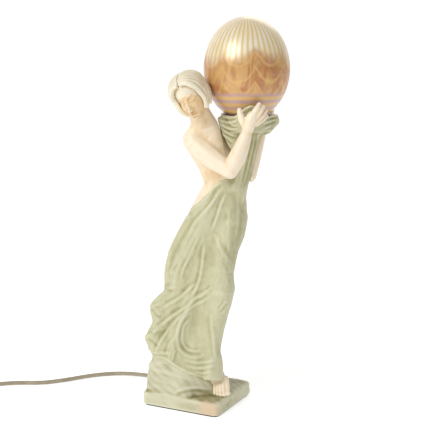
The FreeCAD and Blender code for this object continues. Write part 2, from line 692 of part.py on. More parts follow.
def make_holder_insert():
    """Insulating body inside the lampholder that carries the contacts."""
    low = HOLDER_BASE_Z + 9.0
    radius = HOLDER_RADIUS - 1.6 - 0.2
    outline = [(radius, low), (radius, low + 7.0), (radius - 1.8, low + 7.0), (radius - 1.8, low + 11.0)]
    return lathe(outline, GLOBE_X, GLOBE_Y, FITTING_SIDES)


def make_holder_shell():
    """Outer shell of the lampholder, a sleeve that stands on the cap."""
    low = HOLDER_BASE_Z + 16.0
    high = HOLDER_BASE_Z + HOLDER_HEIGHT
    bore = BULB_CAP_RADIUS + 2.6
    outline = [
        (bore, low + 4.0), (HOLDER_RADIUS - 3.4, low + 4.0), (HOLDER_RADIUS - 3.4, low), (HOLDER_RADIUS, low),
        (HOLDER_RADIUS, low + 10.0), (HOLDER_RADIUS - 1.2, low + 11.5), (HOLDER_RADIUS - 1.2, high), (bore, high),
    ]
    return lathe(outline, GLOBE_X, GLOBE_Y, FITTING_SIDES, True)


def make_screw_shell():
    """Brass sleeve that takes the bulb's cap."""
    low = HOLDER_BASE_Z + 20.0
    high = low + 22.0
    inner = BULB_CAP_RADIUS + FIT_GAP
    outline = [(inner, low), (inner + 1.9, low), (inner + 1.9, high), (inner, high)]
    return lathe(outline, GLOBE_X, GLOBE_Y, FITTING_SIDES, True)


def make_centre_contact():
    """Sprung tongue under the bulb's tip."""
    low = HOLDER_BASE_Z + 20.0
    return Part.makeBox(8.0, 3.0, 1.7, V(GLOBE_X - 4.0, GLOBE_Y - 1.5, low))


def bulb_pieces():
    """Golf-ball bulb with a small screw cap: glass, cap, insulator, tip and filament on its stem."""
    base = BULB_BASE_Z
    top = base + BULB_CAP_HEIGHT
    tip = [(1.6, base), (3.2, base + 0.6), (3.2, base + 1.8)]
    insulator = [(3.2, base + 1.8), (5.2, base + 4.0)]
    cap = [(5.2, base + 4.0), (BULB_CAP_RADIUS, base + 6.0), (BULB_CAP_RADIUS, top - 2.0), (7.0, top)]
    centre = base + BULB_LENGTH - BULB_RADIUS
    glass = [(7.0, top), (8.6, top + 4.0), (12.5, top + 10.0)]
    for angle in (-38.0, -18.0, 2.0, 22.0, 42.0, 62.0, 80.0):
        turn = math.radians(angle)
        glass.append((BULB_RADIUS * math.cos(turn), centre + BULB_RADIUS * math.sin(turn)))
    glass.append((0.6, base + BULB_LENGTH))
    inner = [(5.6, top + 1.0), (7.8, top + 4.4), (11.6, top + 10.4)]
    for angle in (-38.0, -18.0, 2.0, 22.0, 42.0, 62.0, 80.0):
        turn = math.radians(angle)
        inner.append(((BULB_RADIUS - 1.0) * math.cos(turn), centre + (BULB_RADIUS - 1.0) * math.sin(turn)))
    shell = lathe(glass, GLOBE_X, GLOBE_Y, 20).cut(lathe(inner, GLOBE_X, GLOBE_Y, 12))
    stem = lathe([(4.6, top + 1.0), (3.4, top + 8.0), (2.0, top + 20.0), (1.0, top + 26.0)], GLOBE_X, GLOBE_Y, 12)
    filament_z = top + 30.0
    wires = []
    for side in (-1, 1):
        foot = V(GLOBE_X + 1.0 * side, GLOBE_Y, top + 18.0)
        head = V(GLOBE_X + 8.0 * side, GLOBE_Y, filament_z)
        wires.append(limb([(*foot, 0.5), (*head, 0.5)], 6, upright=V(0, 1, 0)))
    bar = limb([(GLOBE_X - 8.4, GLOBE_Y, filament_z, 0.8), (GLOBE_X, GLOBE_Y, filament_z + 2.4, 0.8),
                (GLOBE_X + 8.4, GLOBE_Y, filament_z, 0.8)], 6)
    filament = wires[0].fuse(bar).fuse(wires[1]).cut(stem)
    return {
        "bulb_glass": shell,
        "bulb_cap": lathe(cap, GLOBE_X, GLOBE_Y, FITTING_SIDES),
        "bulb_insulator": lathe(insulator, GLOBE_X, GLOBE_Y, 16),
        "bulb_tip": lathe(tip, GLOBE_X, GLOBE_Y, 16),
        "bulb_stem": stem,
        "bulb_filament": biggest(filament),
    }


def make_inner_lead():
    """Lead from the lampholder down through the nipple, the cloth and the hollow skirt to the plinth."""
    stations = [(GLOBE_X, GLOBE_Y, HOLDER_BASE_Z + 8.8, LEAD_DIAMETER / 2)]
    stations.append((GLOBE_X, GLOBE_Y, BOWL_FOOT_Z + 1, LEAD_DIAMETER / 2))
    stations += [(x, y, lifted(z), LEAD_DIAMETER / 2) for x, y, z in LEAD_ROUTE]
    end = turned_point(*LEAD_HOLE, 0)
    lead = turned(limb(stations, 8, upright=V(0, -1, 0)))
    wall_inside = POCKET_RIM - PLINTH_LENGTH / 2
    across = limb([
        (end.x, end.y, 31.0, LEAD_DIAMETER / 2), (end.x, end.y, 16.0, LEAD_DIAMETER / 2),
        (end.x - 7.0, end.y + 8.0, 9.5, LEAD_DIAMETER / 2),
        (wall_inside + 8.0, CORD_EXIT_Y - 2.0, 9.7, LEAD_DIAMETER / 2),
        (wall_inside, CORD_EXIT_Y, CORD_EXIT_Z, LEAD_DIAMETER / 2),
        (CORD_ROUTE[0].x, CORD_EXIT_Y, CORD_EXIT_Z, LEAD_DIAMETER / 2),
    ], 8, upright=V(0.3, -0.9, 0.3))
    return lead.fuse(across)


# ---- Cord ---------------------------------------------------------------------------------

# Where the cord crosses the edge of the photographed view, and its heading there
VIEW_EDGE = V(-316.7, -91.7, CORD_FLOOR_Z)
COIL_HEADING = V(-0.787, -0.617, 0).normalize()
COIL_ASIDE = V(-COIL_HEADING.y, COIL_HEADING.x, 0)
STRAIGHT_END = 7.0
TAIL_RUN = 42.0
COIL_GUESS_RADIUS = 47.5
COIL_START = VIEW_EDGE + COIL_HEADING * (COIL_GUESS_RADIUS + CORD_DIAMETER / 2 + 5.0 - STRAIGHT_END)
CORD_ROUTE = [
    V(-60.0, CORD_EXIT_Y, CORD_EXIT_Z),
    V(-112.0, 40.0, 9.6),
    V(-169.0, 44.5, CORD_FLOOR_Z),
    V(-205.0, 14.0, CORD_FLOOR_Z),
    V(-232.0, -27.0, CORD_FLOOR_Z),
    V(-258.0, -56.5, CORD_FLOOR_Z),
    V(-296.0, -73.0, CORD_FLOOR_Z),
    COIL_START - COIL_HEADING * 36.0,
    COIL_START,
]


def octagon(centre, heading):
    points = hoop(centre, heading, CORD_DIAMETER / 2, 8)
    return points + points[:1]


def make_cord():
    """Free stretch from the plinth to the coil, with its least radius and volume printed."""
    path, radii = tube_path(CORD_ROUTE)
    section = Part.makePolygon(octagon(CORD_ROUTE[0], V(-1, 0, 0)))
    tube = path.makePipeShell([section], True, False)
    area = 2 * math.sqrt(2) * (CORD_DIAMETER / 2) ** 2
    print("cord length", round(path.Length, 1), "radii", [round(radius) for radius in radii],
          "volume ratio", round(tube.Volume / (area * path.Length), 4))
    return tube, path.Length


def coil_centres(free_length):
    """Centre line of the put-away coil: in for half of its turns, up a layer, and out again."""
    turns_length = CORD_LENGTH - free_length - STRAIGHT_END - TAIL_RUN
    middle_radius = turns_length / (2 * math.pi * COIL_TURNS)
    outer_radius = middle_radius + COIL_STEP * COIL_TURNS / 4
    inner_radius = outer_radius - COIL_STEP * COIL_TURNS / 2
    start = COIL_START + COIL_HEADING * STRAIGHT_END
    hub = start + COIL_ASIDE * outer_radius
    first_angle = math.atan2(-COIL_ASIDE.y, -COIL_ASIDE.x)
    points = [COIL_START]
    count = COIL_TURNS * COIL_STATIONS
    for index in range(count + 1):
        turns = index / COIL_STATIONS
        from_middle = turns - COIL_TURNS / 2
        radius = inner_radius + COIL_STEP * abs(from_middle)
        climb = min(max(from_middle / 0.5 + 0.5, 0.0), 1.0)
        height = COIL_STEP * (3 * climb ** 2 - 2 * climb ** 3)
        angle = first_angle + 2 * math.pi * turns
        points.append(hub + V(radius * math.cos(angle), radius * math.sin(angle), height))
    points.append(points[-1] + COIL_HEADING * TAIL_RUN)
    print("coil middle radius", round(middle_radius, 1), "outer", round(outer_radius, 1),
          "inner", round(inner_radius, 1))
    return points


def least_gap(points):
    """Least clear distance between stretches of the coil more than a third of a turn apart."""
    closest = 1e9
    apart = COIL_STATIONS // 3
    for index in range(len(points)):
        for other in range(index + apart, len(points) - 1):
            span = points[other + 1] - points[other]
            share = (points[index] - points[other]).dot(span) / span.dot(span)
            share = min(max(share, 0.0), 1.0)
            nearest = points[other] + span * share
            closest = min(closest, (points[index] - nearest).Length)
    return closest - CORD_DIAMETER


def make_coil(free_length):
    points = coil_centres(free_length)
    print("coil least gap", round(least_gap(points), 2))
    rings = []
    for index, centre in enumerate(points):
        before = points[max(index - 1, 0)]
        after = points[min(index + 1, len(points) - 1)]
        if index == 1:
            after = centre + COIL_HEADING
        heading = (after - before).normalize()
        rings.append(hoop(centre, heading, CORD_DIAMETER / 2, COIL_SIDES))
    return skin(rings), points


def make_relief():
    """Tapered rubber strain relief, its neck in the plinth's wall and its flange outside it."""
    wall = -PLINTH_LENGTH / 2
    outline = [
        (CORD_DIAMETER / 2, wall + 11.0),
        (RELIEF_NECK_RADIUS - 0.2, wall + 11.0),
        (RELIEF_NECK_RADIUS - 0.2, wall),
        (RELIEF_RADIUS + 0.7, wall),
        (RELIEF_RADIUS + 0.7, wall - 2.5),
        (RELIEF_RADIUS - 0.8, wall - 2.5),
        (RELIEF_TIP_RADIUS, wall - RELIEF_LENGTH),
        (CORD_DIAMETER / 2, wall - RELIEF_LENGTH),
    ]
    rings = [hoop(V(x, CORD_EXIT_Y, CORD_EXIT_Z), V(-1, 0, 0), radius, 16) for radius, x in outline]
    return skin(rings, True)


def make_plug(points):
    """Flat two-pin plug: a tapered body with a collar, and two round pins."""
    start = points[-1]
    heading = COIL_HEADING
    aside = V(-heading.y, heading.x, 0)
    half_thick = start.z - 0.2
    sizes = [
        # along, half width, half thickness
        (0.0, 5.0, 5.0),
        (7.0, 5.6, 5.6),
        (9.0, 8.0, 7.0),
        (18.0, 12.5, 9.2),
        (28.0, PLUG_WIDTH / 2, half_thick),
        (PLUG_LENGTH - 2.0, PLUG_WIDTH / 2, half_thick),
        (PLUG_LENGTH, PLUG_WIDTH / 2 - 1.5, half_thick - 1.5),
    ]
    rings = []
    for along, half_width, thick in sizes:
        centre = start + heading * along
        section = []
        for index in range(16):
            turn = 2 * math.pi * (index + 0.5) / 16
            across = math.copysign(abs(math.cos(turn)) ** 0.6, math.cos(turn)) * half_width
            over = math.copysign(abs(math.sin(turn)) ** 0.6, math.sin(turn)) * thick
            section.append(centre + aside * across + UP * over)
        rings.append(section)
    body = skin(rings)
    pins = {}
    for index, side in enumerate((-1, 1)):
        foot = start + heading * PLUG_LENGTH + aside * (side * PIN_SPACING / 2)
        tip = foot + heading * PIN_LENGTH
        pins[f"plug_pin_{index + 1}"] = limb(
            [(*foot, PIN_DIAMETER / 2), (*tip, PIN_DIAMETER / 2)], 12, False, True)
    return body, pins


# ---- All nodes ----------------------------------------------------------------------------

def save(name, shape):
    """Write one node, after a look at its validity."""
    box = shape.BoundBox
    corners = [round(value, 1) for value in (box.XMin, box.YMin, box.ZMin, box.XMax, box.YMax, box.ZMax)]
    print(f"{name:18s} valid {shape.isValid()} solids {len(shape.Solids)} faces {len(shape.Faces):5d}",
          f"volume {shape.Volume / 1000:8.2f} cm3", corners)
    shape.exportStep(os.path.join("parts", name + ".step"))


def fitting_pieces():
    pieces = {
        "globe": make_globe(),
        "gallery": make_gallery(),
        "seat_ring": make_seat_ring(),
        "nipple": make_nipple(),
        "lock_nut": make_lock_nut(),
        "holder_cap": make_holder_cap(),
        "holder_insert": make_holder_insert(),
        "holder_shell": make_holder_shell(),
        "screw_shell": make_screw_shell(),
        "centre_contact": make_centre_contact(),
    }
    pieces.update(bulb_pieces())
    return {name: turned(shape) for name, shape in pieces.items()}


def cord_pieces():
    cord, free_length = make_cord()
    coil, points = make_coil(free_length)
    body, pins = make_plug(points)
    return {
        "cord": cord,
        "cord_coil": coil,
        "cord_relief": make_relief(),
        "plug_body": body,
        "inner_lead": make_inner_lead(),
        **pins,
    }


os.makedirs("parts", exist_ok=True)
for group in (figure_pieces(), fitting_pieces(), cord_pieces()):
    for name, shape in group.items():
        save(name, shape)
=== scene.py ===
import math

import bmesh
import bpy
import numpy as np
from mathutils import Matrix, Vector
from mathutils.bvhtree import BVHTree
from mathutils.kdtree import KDTree


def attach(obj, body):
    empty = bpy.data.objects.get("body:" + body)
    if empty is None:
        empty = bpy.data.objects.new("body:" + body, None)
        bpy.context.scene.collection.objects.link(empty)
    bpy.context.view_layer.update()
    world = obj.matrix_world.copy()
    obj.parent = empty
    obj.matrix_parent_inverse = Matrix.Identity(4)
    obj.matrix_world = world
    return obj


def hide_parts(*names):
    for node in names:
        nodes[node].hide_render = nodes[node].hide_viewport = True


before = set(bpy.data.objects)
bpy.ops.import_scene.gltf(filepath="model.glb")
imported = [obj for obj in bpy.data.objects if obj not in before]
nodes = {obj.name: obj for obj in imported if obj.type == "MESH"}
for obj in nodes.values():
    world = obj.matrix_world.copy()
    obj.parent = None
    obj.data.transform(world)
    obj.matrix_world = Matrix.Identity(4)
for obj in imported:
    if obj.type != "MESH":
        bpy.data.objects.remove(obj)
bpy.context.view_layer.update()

FIGURE_TURN = math.radians(27.7)
COSINE, SINE = math.cos(FIGURE_TURN), math.sin(FIGURE_TURN)
GLOBE_X, GLOBE_Y = 77.0, 14.0
GLOBE_CENTRE_Z = 521.6
GLOBE_RADIUS = 65.5
GLOBE_HALF_HEIGHT = 78.4
GLOBE_WALL = 3.0
NECK_RADIUS = 31.0
SEAT_Z = 441.2

# ---- Camera and frames --------------------------------------------------------------------

CAMERA_PLACE = np.array([0.8135, -1.5494, 0.653])
CAMERA_SWING = math.radians(26.72)
CAMERA_DIP = math.radians(11.5)
FRAME_SIDE = 432
FOCAL_PIXELS = 1160.0
SENSOR_WIDTH = 36.0

RIGHT = np.array([math.cos(CAMERA_SWING), math.sin(CAMERA_SWING), 0.0])
AHEAD = np.array([-math.sin(CAMERA_SWING) * math.cos(CAMERA_DIP),
                  math.cos(CAMERA_SWING) * math.cos(CAMERA_DIP), -math.sin(CAMERA_DIP)])
UP = np.cross(RIGHT, AHEAD)
# Unit heading from the lamp's middle towards the camera
TO_CAMERA = CAMERA_PLACE - np.array([0.0, 0.0, 0.3])
TO_CAMERA /= np.linalg.norm(TO_CAMERA)


def linked(name, data):
    """A new object with this data, put into the scene."""
    item = bpy.data.objects.new(name, data)
    bpy.context.scene.collection.objects.link(item)
    return item


camera_data = bpy.data.cameras.new("camera")
camera_data.sensor_width = SENSOR_WIDTH
camera_data.lens = SENSOR_WIDTH * FOCAL_PIXELS / FRAME_SIDE
camera = linked("camera", camera_data)
camera.location = CAMERA_PLACE
camera.rotation_euler = (math.pi / 2 - CAMERA_DIP, 0.0, CAMERA_SWING)
bpy.context.scene.camera = camera


def picture(points):
    """Where points, in metres, fall in the front view: across and down, in frame points."""
    offset = points - CAMERA_PLACE
    depth = offset @ AHEAD
    across = FRAME_SIDE / 2 + FOCAL_PIXELS * (offset @ RIGHT) / depth
    down = FRAME_SIDE / 2 - FOCAL_PIXELS * (offset @ UP) / depth
    return np.stack([across, down], 1)


def camera_ray(across, down):
    """Heading of the camera's ray through a point of the frame."""
    half = FRAME_SIDE / 2
    aside = RIGHT * (across - half) / FOCAL_PIXELS
    return Vector(AHEAD + aside - UP * (down - half) / FOCAL_PIXELS).normalized()


def turned(x, y, z):
    """A heading of the figure's own frame as a heading of the lamp."""
    return Vector((x * COSINE - y * SINE, x * SINE + y * COSINE, z))


def placed(x, y, z):
    """A point of the figure's own frame, in millimetres, as a point of the lamp, in metres."""
    return turned(x, y, z) / 1000


def own_frame(points):
    """Points of the lamp, in metres, in the figure's own frame, in millimetres."""
    x, y, z = points.T
    return np.stack([x * COSINE + y * SINE, y * COSINE - x * SINE, z], 1) * 1000


def own_headings(normals):
    """Unit headings of the lamp in the figure's own frame."""
    turn = own_frame(normals)
    return turn / np.linalg.norm(turn, axis=1)[:, None]


def lamp_frame(points):
    """Points of the figure's own frame, in millimetres, as points of the lamp, in metres."""
    x, y, z = points.T
    return np.stack([x * COSINE - y * SINE, x * SINE + y * COSINE, z], 1) / 1000


# ---- Tools for meshes ---------------------------------------------------------------------

# Points nearer to each other than this, in metres, are made one
SAME_POINT = 1e-6


def alone(piece):
    bpy.ops.object.select_all(action="DESELECT")
    piece.select_set(True)
    bpy.context.view_layer.objects.active = piece


def modify(piece, kind, **settings):
    alone(piece)
    bpy.ops.object.modifier_add(type=kind)
    modifier = piece.modifiers[-1]
    for name, value in settings.items():
        setattr(modifier, name, value)
    bpy.ops.object.modifier_apply(modifier=modifier.name)


def remesh(piece, voxel):
    """One closed skin of even quads round everything in a piece."""
    modify(piece, "REMESH", mode="VOXEL", voxel_size=voxel, use_smooth_shade=True)


def thin_out(piece, triangles):
    """Leaves a piece of quads at most this many triangles."""
    modify(piece, "DECIMATE", ratio=min(1.0, triangles / (2 * len(piece.data.polygons))))


def mend_normals(piece):
    alone(piece)
    bpy.ops.object.mode_set(mode="EDIT")
    bpy.ops.mesh.select_all(action="SELECT")
    bpy.ops.mesh.remove_doubles(threshold=SAME_POINT)
    bpy.ops.mesh.normals_make_consistent(inside=False)
    bpy.ops.object.mode_set(mode="OBJECT")


def piece_from(name, points, faces):
    mesh = bpy.data.meshes.new(name)
    mesh.from_pydata([tuple(point) for point in points], [], faces)
    return linked(name, mesh)


def from_rings(name, rings, sharp, closed=False):
    """Rings of points joined into a piece, capped at both ends or closed on itself.

    Edges that turn by more than so many degrees stay sharp.
    """
    sides = len(rings[0])
    rows = len(rings) if closed else len(rings) - 1
    faces = []
    for row in range(rows):
        low, high = row * sides, (row + 1) % len(rings) * sides
        for index in range(sides):
            after = (index + 1) % sides
            faces.append((low + index, low + after, high + after, high + index))
    if not closed:
        faces.append(tuple(reversed(range(sides))))
        faces.append(tuple(range(rows * sides, (rows + 1) * sides)))
    piece = piece_from(name, [point for ring in rings for point in ring], faces)
    mend_normals(piece)
    bpy.ops.object.shade_smooth_by_angle(angle=math.radians(sharp))
    return piece


def copies(name, *node_names):
    """One piece made of copies of several CAD nodes, their doubled points merged."""
    shape = bmesh.new()
    for node_name in node_names:
        mesh = nodes[node_name].data.copy()
        mesh.transform(nodes[node_name].matrix_world)
        shape.from_mesh(mesh)
        bpy.data.meshes.remove(mesh)
    bmesh.ops.remove_doubles(shape, verts=shape.verts[:], dist=SAME_POINT)
    mesh = bpy.data.meshes.new(name)
    shape.to_mesh(mesh)
    shape.free()
    return linked(name, mesh)


def keep_side(piece, point, normal):
    """Cuts a closed piece by a plane, keeps what lies against the normal, and closes the cut."""
    shape = bmesh.new()
    shape.from_mesh(piece.data)
    everything = shape.verts[:] + shape.edges[:] + shape.faces[:]
    bmesh.ops.bisect_plane(shape, geom=everything, plane_co=point, plane_no=normal,
                           clear_outer=True)
    rim = [edge for edge in shape.edges if edge.is_boundary]
    bmesh.ops.holes_fill(shape, edges=rim, sides=0)
    shape.to_mesh(piece.data)
    shape.free()


def join(name, pieces):
    bpy.ops.object.select_all(action="DESELECT")
    for piece in pieces:
        piece.select_set(True)
    bpy.context.view_layer.objects.active = pieces[0]
    bpy.ops.object.join()
    joined = bpy.context.view_layer.objects.active
    joined.name = name
    joined.data.name = name
    return joined


def read(piece):
    """Places of a piece's points, as rows of x, y and z."""
    flat = np.empty(len(piece.data.vertices) * 3)
    piece.data.vertices.foreach_get("co", flat)
    return flat.reshape(-1, 3)


def normals_of(piece):
    flat = np.empty(len(piece.data.vertices) * 3)
    piece.data.vertex_normals.foreach_get("vector", flat)
    return flat.reshape(-1, 3)


def write(piece, points):
    piece.data.vertices.foreach_set("co", points.ravel())
    piece.data.update()


def store(piece, name, values):
    """Keeps one value a point, for the finish to read."""
    layer = piece.data.attributes.new(name, "FLOAT", "POINT")
    layer.data.foreach_set("value", values.astype(np.float32))


def edges_of(piece):
    flat = np.empty(len(piece.data.edges) * 2, dtype=np.int32)
    piece.data.edges.foreach_get("vertices", flat)
    return flat.reshape(-1, 2)


def averaged(points, edges, rounds, share=0.5, weight=None):
    """Points drawn towards the mean of their neighbours, over several rounds."""
    count = len(points)
    degree = np.maximum(np.bincount(edges.ravel(), minlength=count), 1)
    points = points.copy()
    for _ in range(rounds):
        mean = np.empty_like(points)
        for axis in range(3):
            sums = np.bincount(edges[:, 0], points[edges[:, 1], axis], count)
            sums += np.bincount(edges[:, 1], points[edges[:, 0], axis], count)
            mean[:, axis] = sums / degree
        step = (mean - points) * share
        points += step if weight is None else step * weight[:, None]
    return points


def soften(piece, rounds, weight=None):
    """Smooths facets away and keeps the volume, by a step in and a slightly larger step out."""
    points = read(piece)
    edges = edges_of(piece)
    for _ in range(rounds):
        points = averaged(points, edges, 1, 0.5, weight)
        points = averaged(points, edges, 1, -0.52, weight)
    write(piece, points)


def smoothstep(low, high, value):
    share = np.clip((value - low) / (high - low), 0, 1)
    return share * share * (3 - 2 * share)


def seen(normals, low, high):
    """0 where the skin faces aside or away from the camera, and 1 where it faces the camera."""
    return smoothstep(low, high, normals @ TO_CAMERA)


def bell(place, centre, width):
    """Bell curve over one or more axes: 1 at the centre, falling off over the widths."""
    return np.exp(-sum(((at - middle) / wide) ** 2
                       for at, middle, wide in zip(place, centre, width)))


def keep_hollow_shade(piece, rounds, reach, closer=None, shade=0.0):
    """Stores painted shade: how deep each point lies in hollows, 0 on a crest and 1 in a groove.

    Where closer is 1 broader forms count, and less; shade darkens all of it.
    """
    points = read(piece)
    smooth = averaged(points, edges_of(piece), rounds)
    if closer is not None:
        smooth = averaged(smooth, edges_of(piece), 3 * rounds, 0.5, closer)
    depth = np.einsum("ij,ij->i", smooth - points, normals_of(piece))
    if closer is not None:
        depth = depth * (1 - 0.55 * closer)
    store(piece, "hollow", np.clip(0.5 + 0.5 * depth / reach + shade, 0, 1))


def flowing(path, steps=6):
    """A smooth line through a few points."""
    path = np.array(path, dtype=float)
    padded = np.vstack([2 * path[0] - path[1], path, 2 * path[-1] - path[-2]])
    line = []
    for index in range(len(path) - 1):
        before, start, end, after = padded[index:index + 4]
        for step in range(steps):
            t = step / steps
            squared = (2 * before - 5 * start + 4 * end - after) * t ** 2
            cubed = (3 * start - before - 3 * end + after) * t ** 3
            line.append(0.5 * (2 * start + (end - before) * t + squared + cubed))
    line.append(path[-1])
    return np.array(line)


def beside(flat, path, reach):
    """For the points near enough to a line: their indices, signed distances and shares along it."""
    line = flowing(path)
    low, high = line.min(0) - reach, line.max(0) + reach
    near = np.nonzero(np.all((flat > low) & (flat < high), axis=1))[0]
    points = flat[near]
    best = np.full(len(near), 1e9)
    signed = np.zeros(len(near))
    share = np.zeros(len(near))
    lengths = np.linalg.norm(np.diff(line, axis=0), axis=1)
    total = lengths.sum()
    run = 0.0
    for start, end, length in zip(line[:-1], line[1:], lengths):
        along = (end - start) / length
        offset = points - start
        t = np.clip(offset @ along, 0, length)
        gap = offset - t[:, None] * along
        distance = np.linalg.norm(gap, axis=1)
        closer = distance < best
        side = np.sign(along[0] * offset[:, 1] - along[1] * offset[:, 0])
        best[closer] = distance[closer]
        signed[closer] = (distance * np.where(side == 0, 1, side))[closer]
        share[closer] = ((run + t) / total)[closer]
        run += length
    return near, signed, share


def carve(points, normals, flat, facing, strokes, scale=0.001, breadth=1.0):
    """Adds folds along strokes drawn in a flat view: rounded crests with a groove on one side."""
    moved = np.zeros(len(points))
    for lift, width, groove_side, path in strokes:
        width = width * breadth
        near, signed, share = beside(flat, path, width * 4.5)
        ends = np.minimum(smoothstep(0, 0.22, share), smoothstep(0, 0.22, 1 - share))
        crest = np.exp(-(signed / width) ** 2)
        groove = 0.0
        if groove_side:
            groove = 0.6 * np.exp(-((signed * groove_side - 1.9 * width) / (1.2 * width)) ** 2)
        moved[near] += lift * ends * (crest - groove)
    return points + normals * (moved * facing * scale)[:, None]


# Distance, in metres, written down for a ray that meets nothing
NO_HIT = 9.0


def trees_of(*pieces):
    """Search trees for rays cast at several pieces."""
    trees = []
    for piece in pieces:
        shape = bmesh.new()
        shape.from_mesh(piece.data)
        trees.append(BVHTree.FromBMesh(shape))
        shape.free()
    return trees


def stretched(name, trees, grid, proud=0.0, deep=0.006, rounds=60):
    """Closed slab pulled taut, as the camera sees it, over what lies under a grid of the frame."""
    rays = [[camera_ray(*place) for place in row] for row in grid]
    origin = Vector(CAMERA_PLACE)
    under = np.array([[min((tree.ray_cast(origin, ray)[3] or NO_HIT for tree in trees))
                       for ray in row] for row in rays])
    under = np.where(under == NO_HIT, np.median(under), under)
    run = under.copy()
    for _ in range(rounds):
        mean = (run[:-2, 1:-1] + run[2:, 1:-1] + run[1:-1, :-2] + run[1:-1, 2:]) / 4
        run[1:-1, 1:-1] = np.minimum(under[1:-1, 1:-1], mean)
    high, wide = run.shape
    from_end = np.minimum(np.arange(wide), np.arange(wide)[::-1]) / 4
    from_foot = np.arange(high)[::-1] / 3
    taper = np.minimum(1, from_end)[None, :] * np.minimum(1, from_foot)[:, None]
    points = [origin + ray * distance for layer in (run - proud * taper, run + deep)
              for rays_row, row in zip(rays, layer) for ray, distance in zip(rays_row, row)]
    faces = []
    for row in range(high - 1):
        for column in range(wide - 1):
            corner = row * wide + column
            quad = (corner, corner + 1, corner + wide + 1, corner + wide)
            faces += [quad, tuple(index + high * wide for index in reversed(quad))]
    rim = list(range(wide)) + [row * wide + wide - 1 for row in range(1, high)]
    rim += [(high - 1) * wide + column for column in range(wide - 2, -1, -1)]
    rim += [row * wide for row in range(high - 2, 0, -1)]
    for first, second in zip(rim, rim[1:] + rim[:1]):
        faces.append((second, first, first + high * wide, second + high * wide))
    piece = piece_from(name, points, faces)
    mend_normals(piece)
    return piece


def grid_between(first, second, rows, steps):
    """Rows of points of the frame that lead from one line to another."""
    first, second = flowing(first, steps), flowing(second, steps)
    return [first + (second - first) * row / (rows - 1) for row in range(rows)]


def fit_outline(piece, left, right=None, reach=3.4):
    """Draws a piece in or out sideways until its outline in the front view follows lines.

    Each line is a row of (down, across), and reach is the furthest move, in frame points.
    """
    points = read(piece)
    across, down = picture(points).T
    low, high = left[0][0], left[-1][0]
    bins = np.arange(low - 3, high + 6, 1.5)
    index = np.digitize(down, bins)
    rows = [across[index == row] for row in range(1, len(bins))]

    def edge(extreme):
        return np.interp(down, bins[:-1] + 0.75,
                         [extreme(row) if len(row) else np.nan for row in rows])

    def move(line, now):
        return np.clip(np.interp(down, *np.array(line, dtype=float).T) - now, -reach, reach)

    now_left, now_right = edge(np.min), edge(np.max)
    share = (across - now_left) / np.maximum(now_right - now_left, 1.0)
    shift = move(left, now_left) * smoothstep(0.45, 0.0, share)
    if right is not None:
        shift += move(right, now_right) * smoothstep(0.55, 1.0, share)
    shift *= smoothstep(low - 2, low + 8, down) * smoothstep(high + 2, high - 6, down)
    depth = (points - CAMERA_PLACE) @ AHEAD
    write(piece, points + RIGHT * (shift * depth / FOCAL_PIXELS)[:, None])


def rod(path, radii, sides):
    """Closed round rod through points, in millimetres of the figure's frame."""
    curve = bpy.data.curves.new("rod", "CURVE")
    curve.dimensions = "3D"
    curve.bevel_depth = 1.0
    curve.bevel_resolution = max(sides // 4, 1)
    curve.use_fill_caps = True
    spline = curve.splines.new("POLY")
    line = flowing(np.column_stack([np.array(path, dtype=float), radii]), 4)
    spline.points.add(len(line) - 1)
    for point, (x, y, z, radius) in zip(spline.points, line):
        point.co = (*placed(x, y, z), 1.0)
        point.radius = radius / 1000
    owner = linked("rod", curve)
    graph = bpy.context.evaluated_depsgraph_get()
    mesh = bpy.data.meshes.new_from_object(owner.evaluated_get(graph))
    bpy.data.objects.remove(owner)
    piece = linked("rod", mesh)
    mend_normals(piece)
    return piece


def spun(name, outline, sides):
    """An outline of (radius, height) in millimetres spun about the globe's axis."""
    axis = placed(GLOBE_X, GLOBE_Y, 0)
    turns = [2 * math.pi * index / sides for index in range(sides)]
    rings = [[axis + Vector((radius * math.cos(turn), radius * math.sin(turn), height)) / 1000
              for turn in turns] for radius, height in outline]
    return from_rings(name, rings, 38, True)


def egg(place, radii, turn=None):
    """Closed ellipsoid at a point of the figure's frame, in millimetres, turned by a matrix."""
    bpy.ops.mesh.primitive_uv_sphere_add(segments=32, ring_count=20, radius=1.0)
    piece = bpy.context.active_object
    shape = Matrix.Diagonal((*radii, 1.0))
    if turn is not None:
        shape = turn.to_4x4() @ shape
    piece.data.transform(shape)
    piece.data.transform(Matrix.Translation(Vector(place)))
    piece.data.transform(Matrix.Diagonal((0.001, 0.001, 0.001, 1.0)))
    piece.data.transform(Matrix.Rotation(FIGURE_TURN, 4, "Z"))
    return piece


# ---- Finishes -----------------------------------------------------------------------------

class Wire:
    """A value inside a finish; arithmetic on it adds the nodes that work it out."""

    def __init__(self, finish, socket):
        self.finish = finish
        self.socket = socket

    def maths(self, operation, other=None, swapped=False):
        values = [self] if other is None else [self, other]
        if swapped:
            values.reverse()
        settings = {"operation": operation}
        return self.finish.node("ShaderNodeMath", settings, dict(enumerate(values)))

    def __add__(self, other):
        return self.maths("ADD", other)

    def __sub__(self, other):
        return self.maths("SUBTRACT", other)

    def __mul__(self, other):
        return self.maths("MULTIPLY", other)

    def __truediv__(self, other):
        return self.maths("DIVIDE", other)

    def __rsub__(self, other):
        return self.maths("SUBTRACT", other, True)

    def __rtruediv__(self, other):
        return self.maths("DIVIDE", other, True)

    __radd__ = __add__
    __rmul__ = __mul__

    def sine(self):
        return self.maths("SINE")

    def between(self, low, high):
        """0 below low, 1 above high, and a smooth step from one to the other."""
        inputs = {0: self, 1: low, 2: high, 3: 0.0, 4: 1.0}
        settings = {"interpolation_type": "SMOOTHSTEP"}
        return self.finish.node("ShaderNodeMapRange", settings, inputs)


